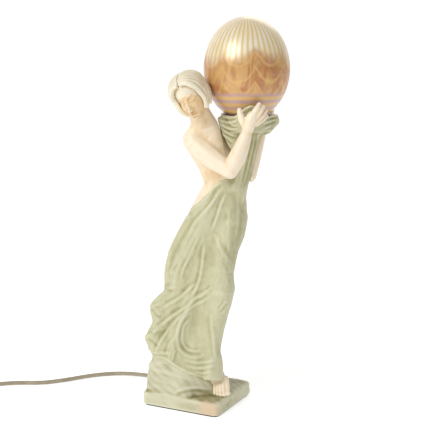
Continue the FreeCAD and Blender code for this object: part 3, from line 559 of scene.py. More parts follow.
class Finish:
    """One material: a principled shader, with plain values on its own sockets."""

    def __init__(self, name, **plain):
        self.material = bpy.data.materials.new(name)
        self.material.use_nodes = True
        self.tree = self.material.node_tree
        self.shader = self.tree.nodes["Principled BSDF"]
        for socket, value in plain.items():
            self.shader.inputs[socket.replace("_", " ")].default_value = value

    def node(self, kind, settings=None, inputs=None, output=0):
        item = self.tree.nodes.new(kind)
        for name, value in (settings or {}).items():
            if name == "stops":
                ramp = item.color_ramp
                while len(ramp.elements) < len(value):
                    ramp.elements.new(0.5)
                for element, (place, colour) in zip(ramp.elements, value):
                    element.position = place
                    element.color = (*colour, 1.0)
            else:
                setattr(item, name, value)
        for name, value in (inputs or {}).items():
            if isinstance(value, Wire):
                self.tree.links.new(value.socket, item.inputs[name])
            else:
                item.inputs[name].default_value = value
        return Wire(self, item.outputs[output])

    def place(self, *stretch):
        """Object coordinates, stretched along each axis."""
        where = self.node("ShaderNodeTexCoord", output=3)
        if not stretch:
            return where
        return self.node("ShaderNodeMapping", None, {"Vector": where, "Scale": stretch})

    def noise(self, scale, detail=4.0, roughness=0.55, where=None, twist=0.0):
        inputs = {"Vector": where or self.place(), "Scale": scale, "Detail": detail,
                  "Roughness": roughness, "Distortion": twist}
        return self.node("ShaderNodeTexNoise", None, inputs)

    def stored(self, name):
        return self.node("ShaderNodeAttribute", {"attribute_name": name}, output=2)

    def ramp(self, value, stops):
        return self.node("ShaderNodeValToRGB", {"stops": stops}, {0: value})

    def mix(self, share, first, second):
        def colour(value):
            return value if isinstance(value, Wire) else (*value, 1.0)
        inputs = {0: share, 6: colour(first), 7: colour(second)}
        return self.node("ShaderNodeMix", {"data_type": "RGBA"}, inputs, 2)

    def link(self, socket, wire):
        self.tree.links.new(wire.socket, self.shader.inputs[socket])

    def relief(self, height, strength, distance):
        inputs = {"Height": height, "Strength": strength, "Distance": distance}
        self.link("Normal", self.node("ShaderNodeBump", None, inputs))


def srgb(red, green, blue):
    """A colour as it is seen, from 0 to 255, as the shader's linear colour."""
    values = []
    for value in (red, green, blue):
        value /= 255
        values.append(value / 12.92 if value <= 0.04045 else ((value + 0.055) / 1.055) ** 2.4)
    return tuple(values)


def wear(piece, finish):
    piece.data.materials.clear()
    piece.data.materials.append(finish.material)


def glaze(name, light, body, hollow, deep, roughness=0.5, coat=0.25, grain=2.6e-4):
    """Aged matt glaze with clouds, stains and specks; paler on crests, painted shade in hollows."""
    finish = Finish(name, Coat_Weight=coat, Coat_Roughness=0.35, Specular_IOR_Level=0.45)
    shade_in_hollows = finish.stored("hollow")
    clouds = finish.noise(24.0, 5.0, 0.6)
    stains = finish.noise(85.0, 6.0, 0.65, twist=0.4)
    specks = finish.noise(900.0, 2.0, 0.5)
    # Painted shade: the glaze darkens towards the hollows and stays paler on the crests
    tone = shade_in_hollows + (clouds - 0.5) * 0.34 + (stains - 0.5) * 0.26
    colour = finish.ramp(tone, [(0.18, light), (0.47, body), (0.66, hollow), (0.92, deep)])
    spots = specks.between(0.70, 0.78) * stains.between(0.5, 0.62)
    colour = finish.mix(spots * 0.45, colour, deep)
    finish.link("Base Color", colour)
    finish.link("Roughness", roughness + (stains - 0.5) * 0.25 + (shade_in_hollows - 0.5) * 0.12)
    finish.relief(stains * 0.6 + specks * 0.4, 0.35, grain)
    return finish


# Stops of each glaze: crests, body, painted shade in hollows, deepest painted shade (also the
# specks)
gown_glaze = glaze("gown_glaze", srgb(222, 221, 190), srgb(206, 203, 166), srgb(180, 175, 130),
                   srgb(142, 134, 86))
skin_glaze = glaze("skin_glaze", srgb(255, 243, 222), srgb(251, 234, 206), srgb(236, 204, 154),
                   srgb(198, 148, 86), 0.48, 0.3, 1.2e-4)
hair_glaze = glaze("hair_glaze", srgb(251, 242, 220), srgb(244, 233, 207), srgb(224, 206, 168),
                   srgb(178, 150, 104))


def rock_finish():
    finish = Finish("rock_glaze", Coat_Weight=0.2, Coat_Roughness=0.4)
    shade_in_hollows = finish.stored("hollow")
    clouds = finish.noise(20.0, 6.0, 0.65)
    streaks = finish.noise(30.0, 5.0, 0.6, finish.place(0.5, 0.5, 2.6), 0.6)
    # Painted shade: the rock glaze darkens towards the hollows
    tone = shade_in_hollows + (clouds - 0.5) * 0.5 + (streaks - 0.5) * 0.35
    colour = finish.ramp(tone, [(0.16, srgb(228, 225, 200)), (0.46, srgb(212, 209, 178)),
                                (0.66, srgb(184, 178, 138)), (0.9, srgb(142, 130, 88))])
    chips = finish.noise(95.0, 5.0, 0.65)
    bare = finish.stored("bare") + (clouds - 0.5) * 0.5 + (chips - 0.5) * 1.1
    colour = finish.mix(bare.between(0.30, 0.80) * 0.85, colour, srgb(228, 200, 168))
    finish.link("Base Color", colour)
    finish.link("Roughness", 0.55 + (streaks - 0.5) * 0.3)
    finish.relief(streaks * 0.5 + finish.noise(240.0, 4.0) * 0.5, 0.5, 5e-4)
    return finish


rock_glaze = rock_finish()


def plain_finish(name, colour, darker, roughness, metallic=0.0, scale=180.0, bump=1e-4, **plain):
    """A moulded or turned material with a slight unevenness of tone and gloss."""
    finish = Finish(name, Metallic=metallic, **plain)
    patches = finish.noise(scale, 5.0, 0.6)
    finish.link("Base Color", finish.mix(patches.between(0.3, 0.7), colour, darker))
    finish.link("Roughness", roughness + (patches - 0.5) * 0.22)
    finish.relief(finish.noise(scale * 8, 3.0), 0.25, bump)
    return finish


brass = plain_finish("aged_brass", srgb(176, 142, 78), srgb(120, 92, 48), 0.36, 1.0)
steel = plain_finish("cap_metal", srgb(196, 194, 188), srgb(158, 156, 150), 0.3, 1.0)
pin_brass = plain_finish("pin_metal", srgb(205, 176, 110), srgb(176, 146, 84), 0.24, 1.0)
dark_resin = plain_finish("dark_plastic", srgb(34, 30, 27), srgb(22, 20, 18), 0.32)
porcelain = plain_finish("white_porcelain", srgb(236, 233, 226), srgb(222, 218, 208), 0.25)
cork_finish = plain_finish("cork", srgb(178, 138, 96), srgb(122, 84, 52), 0.8, 0.0, 700.0, 4e-4)
felt_finish = plain_finish("felt", srgb(62, 78, 54), srgb(44, 58, 40), 0.95, 0.0, 900.0, 4e-4)
lead_finish = plain_finish("lead_sheath", srgb(186, 172, 140), srgb(166, 152, 120), 0.5)
cord_finish = plain_finish("cord_sheath", srgb(176, 164, 142), srgb(160, 148, 126), 0.42, 0.0, 60.0)
relief_finish = plain_finish("relief_rubber", srgb(140, 130, 110), srgb(118, 108, 90), 0.6)
plug_finish = plain_finish("plug_plastic", srgb(168, 156, 134), srgb(150, 138, 116), 0.36)
bulb_glass = Finish("clear_glass", Base_Color=(0.96, 0.97, 0.97, 1), Roughness=0.03,
                    Transmission_Weight=1.0, IOR=1.45)
filament_metal = plain_finish("filament_metal", srgb(120, 118, 116), srgb(90, 88, 86), 0.4, 1.0)

# ---- Free cord ----------------------------------------------------------------------------

CORD_DIAMETER = 0.0066
FLOOR_Z = 0.0034
CORD_ROUTE = [
    (-0.060, 0.040, 0.010), (-0.112, 0.040, 0.0096), (-0.169, 0.0445, FLOOR_Z),
    (-0.205, 0.014, FLOOR_Z), (-0.232, -0.027, FLOOR_Z), (-0.258, -0.0565, FLOOR_Z),
    (-0.296, -0.073, FLOOR_Z),
]
VIEW_EDGE = Vector((-0.3167, -0.0917, FLOOR_Z))
COIL_HEADING = Vector((-0.787, -0.617, 0)).normalized()
COIL_ASIDE = Vector((-COIL_HEADING.y, COIL_HEADING.x, 0))
COIL_GUESS_RADIUS = 0.0475
STRAIGHT_END = 0.007
EDGE_GAP = 0.005
RUN_IN = 0.036
COIL_START = VIEW_EDGE + COIL_HEADING * (COIL_GUESS_RADIUS + CORD_DIAMETER / 2 + EDGE_GAP
                                         - STRAIGHT_END)
# The curve cuts the corners of its points, so the coil's are set a little further out
COIL_SPREAD = 1.006
COIL_TURNS = 6
TURN_POINTS = 16
TURN_STEP = 0.0072
MIDDLE_RADIUS = 0.0369
TAIL_RUN = 0.042
PLUG_LENGTH = 0.038
PIN_SPACING = 0.0186


def coil_points():
    """The put-away coil: half of its turns inwards, the rest outwards on top, then to the plug."""
    outer = MIDDLE_RADIUS + TURN_STEP * COIL_TURNS / 4
    inner = outer - TURN_STEP * COIL_TURNS / 2
    hub = COIL_START + COIL_HEADING * STRAIGHT_END + COIL_ASIDE * outer
    first = math.atan2(-COIL_ASIDE.y, -COIL_ASIDE.x)
    points = []
    for index in range(COIL_TURNS * TURN_POINTS + 1):
        turns = index / TURN_POINTS
        from_middle = turns - COIL_TURNS / 2
        radius = (inner + TURN_STEP * abs(from_middle)) * COIL_SPREAD
        height = TURN_STEP * float(smoothstep(-0.25, 0.25, from_middle))
        angle = first + 2 * math.pi * turns
        points.append(hub + Vector((radius * math.cos(angle), radius * math.sin(angle), height)))
    points.append(points[-1] + COIL_HEADING * TAIL_RUN * 0.5)
    points.append(points[-2] + COIL_HEADING * TAIL_RUN)
    return points


def make_cord():
    route = [Vector(point) for point in CORD_ROUTE]
    route += [COIL_START - COIL_HEADING * RUN_IN, COIL_START] + coil_points()
    curve = bpy.data.curves.new("mains_cord", "CURVE")
    curve.dimensions = "3D"
    curve.bevel_depth = CORD_DIAMETER / 2
    curve.bevel_resolution = 4
    curve.resolution_u = 6
    curve.use_fill_caps = True
    spline = curve.splines.new("NURBS")
    spline.points.add(len(route) - 1)
    for point, place in zip(spline.points, route):
        point.co = (*place, 1.0)
    spline.order_u = 3
    spline.use_endpoint_u = True
    curve.materials.append(cord_finish.material)
    return linked("mains_cord", curve), route[-1]


def turned_along(name, outline, start, heading, sides, sharp):
    """An outline of (run, radius) points spun about a level line from a start."""
    upright = Vector((0, 0, 1))
    aside = heading.cross(upright)
    turns = [2 * math.pi * index / sides for index in range(sides)]
    rings = [[start + heading * run + (aside * math.cos(turn) + upright * math.sin(turn)) * radius
              for turn in turns] for run, radius in outline]
    return from_rings(name, rings, sharp)


def make_relief():
    """Ribbed rubber strain relief that tapers along the cord."""
    outline = [(-0.011, 0.0043), (-0.0002, 0.0043), (0.0, 0.0070), (0.0003, 0.0072),
               (0.0022, 0.0072), (0.0026, 0.0062)]
    for rib in range(6):
        run = 0.0035 + 0.0038 * rib
        radius = 0.0058 - 0.00022 * rib
        outline += [(run, radius - 0.0007), (run + 0.0009, radius - 0.0007),
                    (run + 0.0012, radius), (run + 0.0029, radius - 0.0001),
                    (run + 0.0032, radius - 0.0008)]
    outline += [(0.0272, 0.0042), (0.028, 0.0037)]
    start = Vector((-0.066, 0.040, 0.010))
    piece = turned_along("strain_relief", outline, start, Vector((-1, 0, 0)), 32, 40)
    wear(piece, relief_finish)
    return piece


def make_plug(start):
    """Flat two-pin plug: ribbed collar, waisted grip and a level face with two round pins."""
    heading, aside = COIL_HEADING, COIL_ASIDE
    half_thick = start.z - 0.0003
    stations = [(0.0, 0.0042, 0.0042), (0.0008, 0.0050, 0.0050), (0.0022, 0.0050, 0.0050),
                (0.0026, 0.0046, 0.0046), (0.0036, 0.0046, 0.0046), (0.0040, 0.0053, 0.0053),
                (0.0056, 0.0053, 0.0053), (0.0060, 0.0049, 0.0049), (0.0070, 0.0055, 0.0055),
                (0.0090, 0.0075, 0.0068), (0.0120, 0.0095, 0.0078), (0.0180, 0.0124, 0.0090),
                (0.0240, 0.0142, 0.0098), (0.0300, 0.0149, half_thick),
                (0.0362, 0.0149, half_thick), (0.0374, 0.0146, half_thick - 0.0004),
                (0.0380, 0.0138, half_thick - 0.0012)]
    sides = 48
    turns = [2 * math.pi * (index + 0.5) / sides for index in range(sides)]
    rings = []
    for run, wide, thick in stations:
        squareness = 1.0 - 0.5 * float(smoothstep(0.007, 0.02, run))
        ring = []
        for turn in turns:
            across = math.copysign(abs(math.cos(turn)) ** squareness, math.cos(turn)) * wide
            over = math.copysign(abs(math.sin(turn)) ** squareness, math.sin(turn)) * thick
            ring.append(start + heading * run + aside * across + Vector((0, 0, over)))
        rings.append(ring)
    body = from_rings("plug_moulding", rings, 35)
    wear(body, plug_finish)
    pins = []
    outline = [(0.0, 0.0019), (0.0002, 0.0020), (0.0180, 0.0020), (0.0186, 0.0017),
               (0.0190, 0.0011)]
    for index, side in enumerate((-1, 1)):
        foot = start + heading * PLUG_LENGTH + aside * (side * PIN_SPACING / 2)
        pin = turned_along(f"plug_blade_{index + 1}", outline, foot, heading, 24, 35)
        wear(pin, pin_brass)
        pins.append(pin)
    return body, pins


cord_piece, cord_end = make_cord()
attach(cord_piece, "figure")
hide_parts("cord", "cord_coil")
relief = make_relief()
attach(relief, "figure")
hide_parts("cord_relief")
plug, plug_pins = make_plug(cord_end)
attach(plug, "figure")
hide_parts("plug_body")
for index, pin in enumerate(plug_pins):
    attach(pin, "figure")
    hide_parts(f"plug_pin_{index + 1}")

# ---- Plinth -------------------------------------------------------------------------------

SLAB_REACH = np.array([0.0657, 0.0607])
SLAB_FOOT = 0.002
NEAR_CORNER = (50.0, -61.0)
# Lift in millimetres, half width, side of the groove (0 for none) and the line of each stroke.
# Widths and lines are in frame points, except on the back and the sides, which say otherwise
ROCK_LINES = [
    (0.5, 2.0, 1, [(150, 368), (160, 371), (176, 375), (192, 380), (202, 384)]),
    (0.4, 1.8, 1, [(150, 378), (165, 382), (182, 386), (196, 389)]),
    (1.1, 1.6, 1, [(172, 394), (182, 389.5), (194, 388), (204, 389), (212, 392)]),
    (0.5, 1.6, -1, [(146, 392), (158, 394), (172, 397), (186, 399.5)]),
    (0.5, 1.6, 1, [(224, 374), (234, 378), (246, 382)]),
]
SLAB_LINE = [(148.5, 393), (155, 395.3), (163, 397.3), (172, 399.4), (181, 401.4), (190, 403)]
MOUND_LINE = [(153.5, 358), (160, 359.5), (168, 362.5), (178, 369.5), (189, 375.5), (200, 380)]
ROCK_LEFT = [(357, 152), (363, 148.2), (372, 147.2), (379, 146.4), (385, 143.5), (391, 140.5)]


def make_plinth():
    """Rough-hewn slab and mound, with worn edges and a bare patch at the near corner."""
    piece = copies("rough_plinth", "plinth")
    face = grid_between(SLAB_LINE, MOUND_LINE, 15, 5)
    slope = stretched("slope", trees_of(piece), face, 0.0, 0.012, 120)
    piece = join("rough_plinth", [piece, slope])
    remesh(piece, 0.0014)
    high = smoothstep(0.024, 0.030, read(piece)[:, 2])
    write(piece, averaged(read(piece), edges_of(piece), 45, 0.5, high))
    soften(piece, 16)
    fit_outline(piece, ROCK_LEFT, None, 3.6)
    points = read(piece)
    normals = normals_of(piece)
    x, y, z = (points * 1000).T
    lumps = (0.55 * np.sin(x * 0.13 + 1.3 * np.sin(y * 0.09) + 0.7)
             * np.sin(y * 0.11 + 0.9 * np.sin(z * 0.2)))
    lumps += 0.35 * np.sin(x * 0.31 + y * 0.17 + z * 0.43) * np.sin(y * 0.27 - z * 0.19 + 1.1)
    lumps += 0.06 * np.sin(x * 0.07 + z * 0.6 + 1.6 * np.sin(y * 0.05 + x * 0.03))
    above_edge = (abs(x) > 54) | (abs(y) > 49) | (z > 20)
    outside = (normals[:, 2] > -0.3) & (z > 2.4) & above_edge
    from_cord = smoothstep(0, 4, np.hypot(y - 40, z - 10) - 8) + (x > 0)
    points = points + normals * (lumps * outside * np.clip(from_cord, 0, 1))[:, None] / 1000
    points = carve(points, normals, picture(points), seen(normals, 0.0, 0.4) * outside, ROCK_LINES)
    points[:, :2] = np.clip(points[:, :2], -SLAB_REACH, SLAB_REACH)
    points[:, 2] = np.maximum(points[:, 2], SLAB_FOOT)
    write(piece, points)
    # The slab's level top is made darker, along with the painted shade in the rock's hollows
    level = smoothstep(0.7, 0.95, normals_of(piece)[:, 2]) * smoothstep(26, 23, z) * (z > 18)
    keep_hollow_shade(piece, 16, 0.0013, None, 0.22 * level)
    from_corner = np.hypot(x - NEAR_CORNER[0], y - NEAR_CORNER[1])
    bare = np.exp(-(from_corner / 22.0) ** 2) * smoothstep(27, 19, z) * smoothstep(64, 52, y)
    store(piece, "bare", bare * 0.85)
    wear(piece, rock_glaze)
    return piece


plinth = make_plinth()
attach(plinth, "figure")
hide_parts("plinth")

# ---- Draped gown --------------------------------------------------------------------------

FOLD_HEIGHT, FOLD_BREADTH = 0.00082, 1.2
GOWN_FOLDS = [
    (1.7, 1.3, 1, [(223.5, 178), (214.2, 187), (208.5, 194.5), (202, 202), (193.5, 208),
        (188, 214)]),
    (1.9, 1.6, 1, [(229.5, 180.6), (219, 193), (210.4, 205.5), (200.8, 215), (191.2, 228.5),
        (183.6, 241.9), (175.9, 257.2), (171.1, 270.6), (167, 281)]),
    (1.5, 1.3, 1, [(226.7, 192.1), (221.9, 203.6), (216.1, 220.8), (211.3, 232)]),
    (1.2, 1.5, 1, [(217, 196), (209.4, 207), (202.7, 216), (196, 224)]),
    (1.4, 1.5, 1, [(193.2, 209), (183.6, 221.5), (176.8, 234.2), (171, 247.6), (168, 262)]),
    (1.3, 1.3, 1, [(197, 221), (189.3, 236.1), (181.7, 251.4), (175, 264.5), (169.5, 277)]),
    (1.1, 1.2, -1, [(201, 232), (192.2, 250), (185.5, 263), (180, 274)]),
    (1.8, 1.4, 1, [(206, 240), (203.8, 252), (202.3, 265), (199.5, 279.9), (194.8, 291.3),
        (189, 299)]),
    (1.0, 1.2, 1, [(196, 248), (190.5, 258), (184.5, 268), (180, 279)]),
    (1.5, 1.4, 1, [(198.5, 281), (187.4, 290.7), (177.8, 299.3), (168, 304.5), (160, 310)]),
    (1.7, 1.5, 1, [(210.4, 287.9), (198.9, 296.2), (187.4, 306.3), (173.6, 315.4), (162.1, 324.6),
        (152.5, 331)]),
    (1.4, 1.4, 1, [(213.5, 295.9), (203.5, 300.8), (194.3, 305.6), (182.8, 314.3), (173.6, 323.5),
        (164.4, 335), (156, 345)]),
    (1.8, 1.6, -1, [(196, 310.5), (187, 314.5), (181, 321), (177.4, 333), (178.6, 346),
        (184, 353.3), (192, 357.2), (201.2, 356.6), (206.5, 352)]),
    (1.0, 1.1, -1, [(190.5, 318), (184.6, 325), (182.4, 335), (183.6, 344), (188, 349.5),
        (196, 351.5), (202, 350)]),
    (1.5, 1.7, 1, [(212.7, 309), (211.6, 322), (213.5, 336), (215.2, 350), (216.2, 362)]),
    (1.0, 1.1, 1, [(227.6, 299.4), (224, 305), (219, 311)]),
    (0.9, 1.1, 1, [(229.8, 303.5), (226, 309), (221, 315)]),
    (0.8, 1.1, 1, [(213, 286), (205, 293), (198, 300)]),
    (1.3, 1.2, 1, [(169.5, 329), (163, 338), (157.5, 347), (155, 353)]),
    (1.2, 1.2, 1, [(173.5, 337), (169, 346), (166, 356)]),
    (1.0, 1.1, -1, [(175, 349), (173, 357), (171.5, 362)]),
    (1.5, 1.1, 1, [(154.1, 357), (163.3, 358), (169, 361), (178.2, 367.3), (189.7, 373),
        (198, 376), (206, 377)]),
    (1.0, 1.3, 1, [(183, 359), (196, 362.5), (208, 361.8), (217.3, 360)]),
    (0.9, 1.2, 1, [(187, 365.5), (198, 368.3), (210, 366.5), (218, 364)]),
    (0.8, 1.1, 1, [(194.3, 371.5), (203, 373.3), (211, 371)]),
    (1.3, 1.8, -1, [(214.2, 231), (219, 245.7), (225.5, 256), (231.6, 265)]),
    (0.8, 1.6, 1, [(228.6, 205), (229.5, 222), (228.5, 240), (229.5, 254)]),
    (0.7, 1.4, 1, [(236.5, 190), (238.5, 208), (237.5, 226), (234.5, 244)]),
    (0.6, 1.3, 1, [(244, 192), (245, 210), (242.5, 230), (238.5, 246)]),
    (0.6, 1.5, -1, [(221, 262), (226, 276), (227, 290)]),
    (0.8, 1.3, 1, [(154, 305.5), (160, 304), (166, 302)]),
    (1.0, 1.3, 1, [(151.5, 333), (157, 330), (163, 328)]),
    (-2.0, 1.9, 0, [(149.5, 308), (153.5, 312), (158, 316.5), (163, 318)]),
    (-1.8, 1.6, 0, [(146.5, 337), (151, 341), (156, 345), (159, 349)]),
    (1.2, 1.1, 1, [(255, 132), (253, 146), (250, 160), (246.5, 174), (243, 186)]),
    (1.1, 1.1, 1, [(249.5, 134), (248.5, 148), (245.5, 162), (241.5, 176), (238, 190)]),
    (0.9, 1.0, 1, [(259, 129), (257.5, 142), (254.8, 156), (251.5, 170)]),
    (2.0, 1.0, -1, [(216, 118.5), (223, 121), (230, 122.5), (239, 120)]),
    (2.1, 1.0, 1, [(217, 120.5), (222.5, 125.5), (230, 129), (239, 129.5)]),
    (1.9, 0.9, 1, [(218.5, 124), (224, 130.5), (231, 135), (238, 136.5)]),
    (1.8, 0.9, 1, [(219.5, 127), (224, 134.5), (229.5, 140), (235, 143.5)]),
    (1.6, 0.9, 1, [(221.5, 131), (225, 138.5), (229.5, 145.5), (233, 150)]),
    (1.2, 0.8, 1, [(228, 118.5), (232, 125), (238, 126)]),
    (0.9, 0.9, 1, [(240, 113.5), (245, 110), (250, 107.5), (255, 106.5)]),
    (0.8, 0.9, 1, [(240.5, 117), (246, 114), (251, 112)]),
    (1.9, 0.9, 1, [(264, 118), (270, 116.8), (275, 115.5), (279, 114.5)]),
    (1.7, 0.9, 1, [(263, 124), (269.5, 121.6), (276, 119)]),
    (1.4, 0.9, 1, [(260, 131), (266, 128), (272.5, 125)]),
]


def fan(starts, ends, lifts, width, bend=0.0):
    """Folds that run from one row of points to another, each bowed to one side."""
    folds = []
    for index, (start, end) in enumerate(zip(starts, ends)):
        start, end = np.array(start), np.array(end)
        aside = np.array([end[1] - start[1], start[0] - end[0]]) * bend
        lift = lifts[index % len(lifts)]
        line = [start, (start * 2 + end) / 3 + aside, (start + end * 2) / 3 + aside, end]
        folds.append((lift, width, 1 if index % 2 else -1, line))
    return folds


def back_folds():
    """Folds of the back, in millimetres: across from the figure's own left, and up."""
    count = 9
    starts = [(66 - 8.5 * i, 338 - 8.0 * i) for i in range(count)]
    ends = [(32 - 12.6 * i, 44 + 6.0 * i) for i in range(count)]
    folds = fan(starts, ends, (2.0, 1.3, 1.7, 1.1), 4.2, 0.05)
    folds += fan([(70, 300), (64, 270), (56, 240), (50, 210)],
                 [(18, 70), (4, 62), (-10, 58), (-24, 58)], (1.0, 0.8), 2.6, 0.08)
    folds += fan([(68 + 6 * i, 415) for i in range(5)], [(48 + 6.5 * i, 318) for i in range(5)],
                 (1.6, 1.1), 2.4, -0.02)
    return folds


def side_folds():
    """Folds of the right side, in millimetres: along the figure's depth, then up."""
    starts = [(-16, 250), (-4, 262), (8, 272), (20, 280), (32, 286)]
    ends = [(-20, 60), (-8, 50), (6, 46), (20, 46), (34, 50)]
    return fan(starts, ends, (1.4, 1.0), 3.4, 0.04)


def ragged_flutter(x, y, z):
    """How far the wind-blown edge of the gown waves out and in, in millimetres."""
    edge = smoothstep(-58, -72, x)
    return edge * (2.2 * np.cos((z - 158) / 4.6) + 1.6 * np.cos((z - 120) / 3.3 + y / 5))


HEM_LINE = [(152.5, 357.5), (158, 358.4), (164.8, 359.4), (168.8, 362), (176.9, 368.6),
            (188, 374.4), (200, 377.8), (207.5, 379.4), (213, 377.5)]
WAIST_LINE = [(227, 177), (220.5, 181), (214, 186.5), (208, 192.5), (202.5, 198.5), (197, 204.5),
              (191.5, 210), (187, 216)]
LEG_LEFT = [(203, 250), (201, 268), (198, 290), (196, 310), (195, 330), (196, 350), (200, 372)]
LEG_RIGHT = [(214, 250), (217, 268), (217.5, 290), (216.5, 310), (216, 330), (215.5, 350),
             (215, 372)]
PLEAT_LEFT = [(165.5, 276), (164.5, 288), (158, 300), (154, 310)]
PLEAT_RIGHT = [(184, 276), (182, 288), (178, 300), (174, 312)]
GOWN_LEFT = [(212, 188.5), (220, 183.6), (234, 176), (251, 168.3), (263, 165.4), (273, 164),
             (284, 164.4), (296, 161), (302, 153.5), (306, 149.3), (314, 150), (321, 152.5),
             (325, 151.5), (330, 147), (335.5, 145), (343, 146.5), (350, 148), (357, 153)]
GOWN_RIGHT = [(212, 249), (224, 247.2), (236, 244.8), (253, 238), (262, 233.6), (268, 232.6),
              (277, 234.3), (289, 235.3), (299, 233.3), (304, 232.2), (316.6, 227.6), (330, 224),
              (345, 221.3), (360, 220.7), (370, 224.5)]
COARSE_VOXEL, FINE_VOXEL = 0.0018, 0.00125
CLOSING = 0.0045
GOWN_TRIANGLES = 185000


def swell(piece, amount):
    """Grows or shrinks a piece; growing first and shrinking later closes its narrow gaps."""
    write(piece, read(piece) + normals_of(piece) * amount)


def shifted_rows(line, rows, across_step, down_step):
    """Rows of points of the frame, each beside the one before by the same step."""
    return [[(across + across_step * row, down + down_step * row) for across, down in line]
            for row in range(rows)]


def gown_parts():
    """Copies of the cloth's solids, with taut sheets that close the gaps between them."""
    upright = copies("gown", "skirt")
    keep_side(upright, placed(-3.0, 0.0, 317.0), turned(-0.60, 0.12, 0.79).normalized())
    others = copies("gathers", "flutter_drape", "mantle", "cloth_bowl", "cloth_tail")
    torso = copies("probe", "torso")
    skins = trees_of(upright, others, plinth, torso)
    bpy.data.objects.remove(torso)
    leg = [list(row) for row in zip(*grid_between(LEG_LEFT, LEG_RIGHT, 11, 6))]
    pleat = [list(row) for row in zip(*grid_between(PLEAT_LEFT, PLEAT_RIGHT, 9, 6))]
    hem = shifted_rows(flowing(HEM_LINE, 5), 8, 0.5, -3.5)
    waist = shifted_rows(flowing(WAIST_LINE, 4), 7, 2.1, 2.4)
    ring = [(34.3, 428.0), (38.6, 428.0), (39.4, 447.0), (35.2, 449.5), (34.3, 446.0)]
    return [upright, others, spun("liner", ring, 64), stretched("apron", skins, hem, 0.0016),
            stretched("sash", skins, waist, 0.0018, 0.008, 12),
            stretched("lap", skins, leg, 0.0, 0.016, 90),
            stretched("pleat", skins, pleat, 0.0, 0.010, 60)]


def make_gown():
    """The whole cloth: skirt, flying hem, mantle and the gathers round the globe's neck."""
    piece = join("draped_gown", gown_parts())
    remesh(piece, COARSE_VOXEL)
    swell(piece, CLOSING)
    remesh(piece, COARSE_VOXEL)
    soften(piece, 30)
    swell(piece, -CLOSING)
    remesh(piece, FINE_VOXEL)
    soften(piece, 16)
    fit_outline(piece, GOWN_LEFT, GOWN_RIGHT)
    points = read(piece)
    own = own_frame(points)
    x, y, z = own.T
    from_globe = np.hypot(x - GLOBE_X, y - GLOBE_Y)
    free = 1 - (from_globe < 37.5) * (z > 430)
    free = free * smoothstep(0, 3, 1e-6 + np.abs(z - 430) + (from_globe > 37.5) * 9)
    normals = normals_of(piece)
    turn = own_headings(normals)
    front = seen(normals, 0.02, 0.45) * free
    points = carve(points, normals, picture(points), front, GOWN_FOLDS, FOLD_HEIGHT,
                   FOLD_BREADTH)
    behind = smoothstep(0.1, 0.6, turn[:, 1]) * free * (1 - seen(normals, 0.02, 0.2))
    points = carve(points, normals, own[:, [0, 2]], behind, back_folds())
    right = smoothstep(0.35, 0.8, turn[:, 0]) * free * (1 - seen(normals, 0.1, 0.4))
    points = carve(points, normals, own[:, [1, 2]], right, side_folds())
    wind = ragged_flutter(x, y, z) * (z > 84) * (z < 186) * smoothstep(0.0, 0.5, -turn[:, 0])
    points = points + normals * (wind * 0.45)[:, None] / 1000
    ripple = np.sin(x * 0.8 + z * 0.33) * np.sin(y * 0.7 - z * 0.21 + 1.0)
    points = points + normals * (0.07 * ripple * free)[:, None] / 1000
    across, down = picture(points).T
    below_hem = smoothstep(0.6, 2.6, down - np.interp(across, *np.array(HEM_LINE).T))
    spare = below_hem * smoothstep(150, 154, across) * smoothstep(206, 202, across)
    points = points + AHEAD * (spare * 0.012)[:, None]
    write(piece, points)
    across, down = picture(points).T
    # Painted shade: the drape right of the forearm and the leg's right side are darkened, as turned
    # from the light
    lee_shade = smoothstep(241, 247, across) * smoothstep(196, 180, down) * smoothstep(126, 134, down)
    knee_shade = smoothstep(222, 240, across) * bell([down], [240], [26]) * 0.6
    # Painted shade in the folds of the gown
    keep_hollow_shade(piece, 14, 0.0012, None, 0.16 * np.maximum(lee_shade, knee_shade))
    thin_out(piece, GOWN_TRIANGLES)
    wear(piece, gown_glaze)
    return piece


gown = make_gown()
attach(gown, "figure")
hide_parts("skirt", "flutter_drape", "mantle", "cloth_bowl", "cloth_tail")

# ---- Head ---------------------------------------------------------------------------------

HEAD_CENTRE = Vector((-7.5, -25.0, 482.5))
HEAD_SCALE = 1.1
HEAD_TURN = (Matrix.Rotation(math.radians(-27), 3, "Z") @ Matrix.Rotation(math.radians(-25), 3, "Y")
             @ Matrix.Rotation(math.radians(18), 3, "X"))


def of_head(x, y, z):
    """A point of the head's own frame (face towards -y, crown up) in the figure's frame."""
    return HEAD_CENTRE + HEAD_TURN @ Vector((x, y, z)) * HEAD_SCALE


def head_frame(points):
    """Points of the lamp in the head's own frame, in millimetres."""
    return (own_frame(points) - np.array(HEAD_CENTRE)) @ np.array(HEAD_TURN) / HEAD_SCALE


def spot(x, z, at_x, at_z, wide, high):
    return bell((x, z), (at_x, at_z), (wide, high))


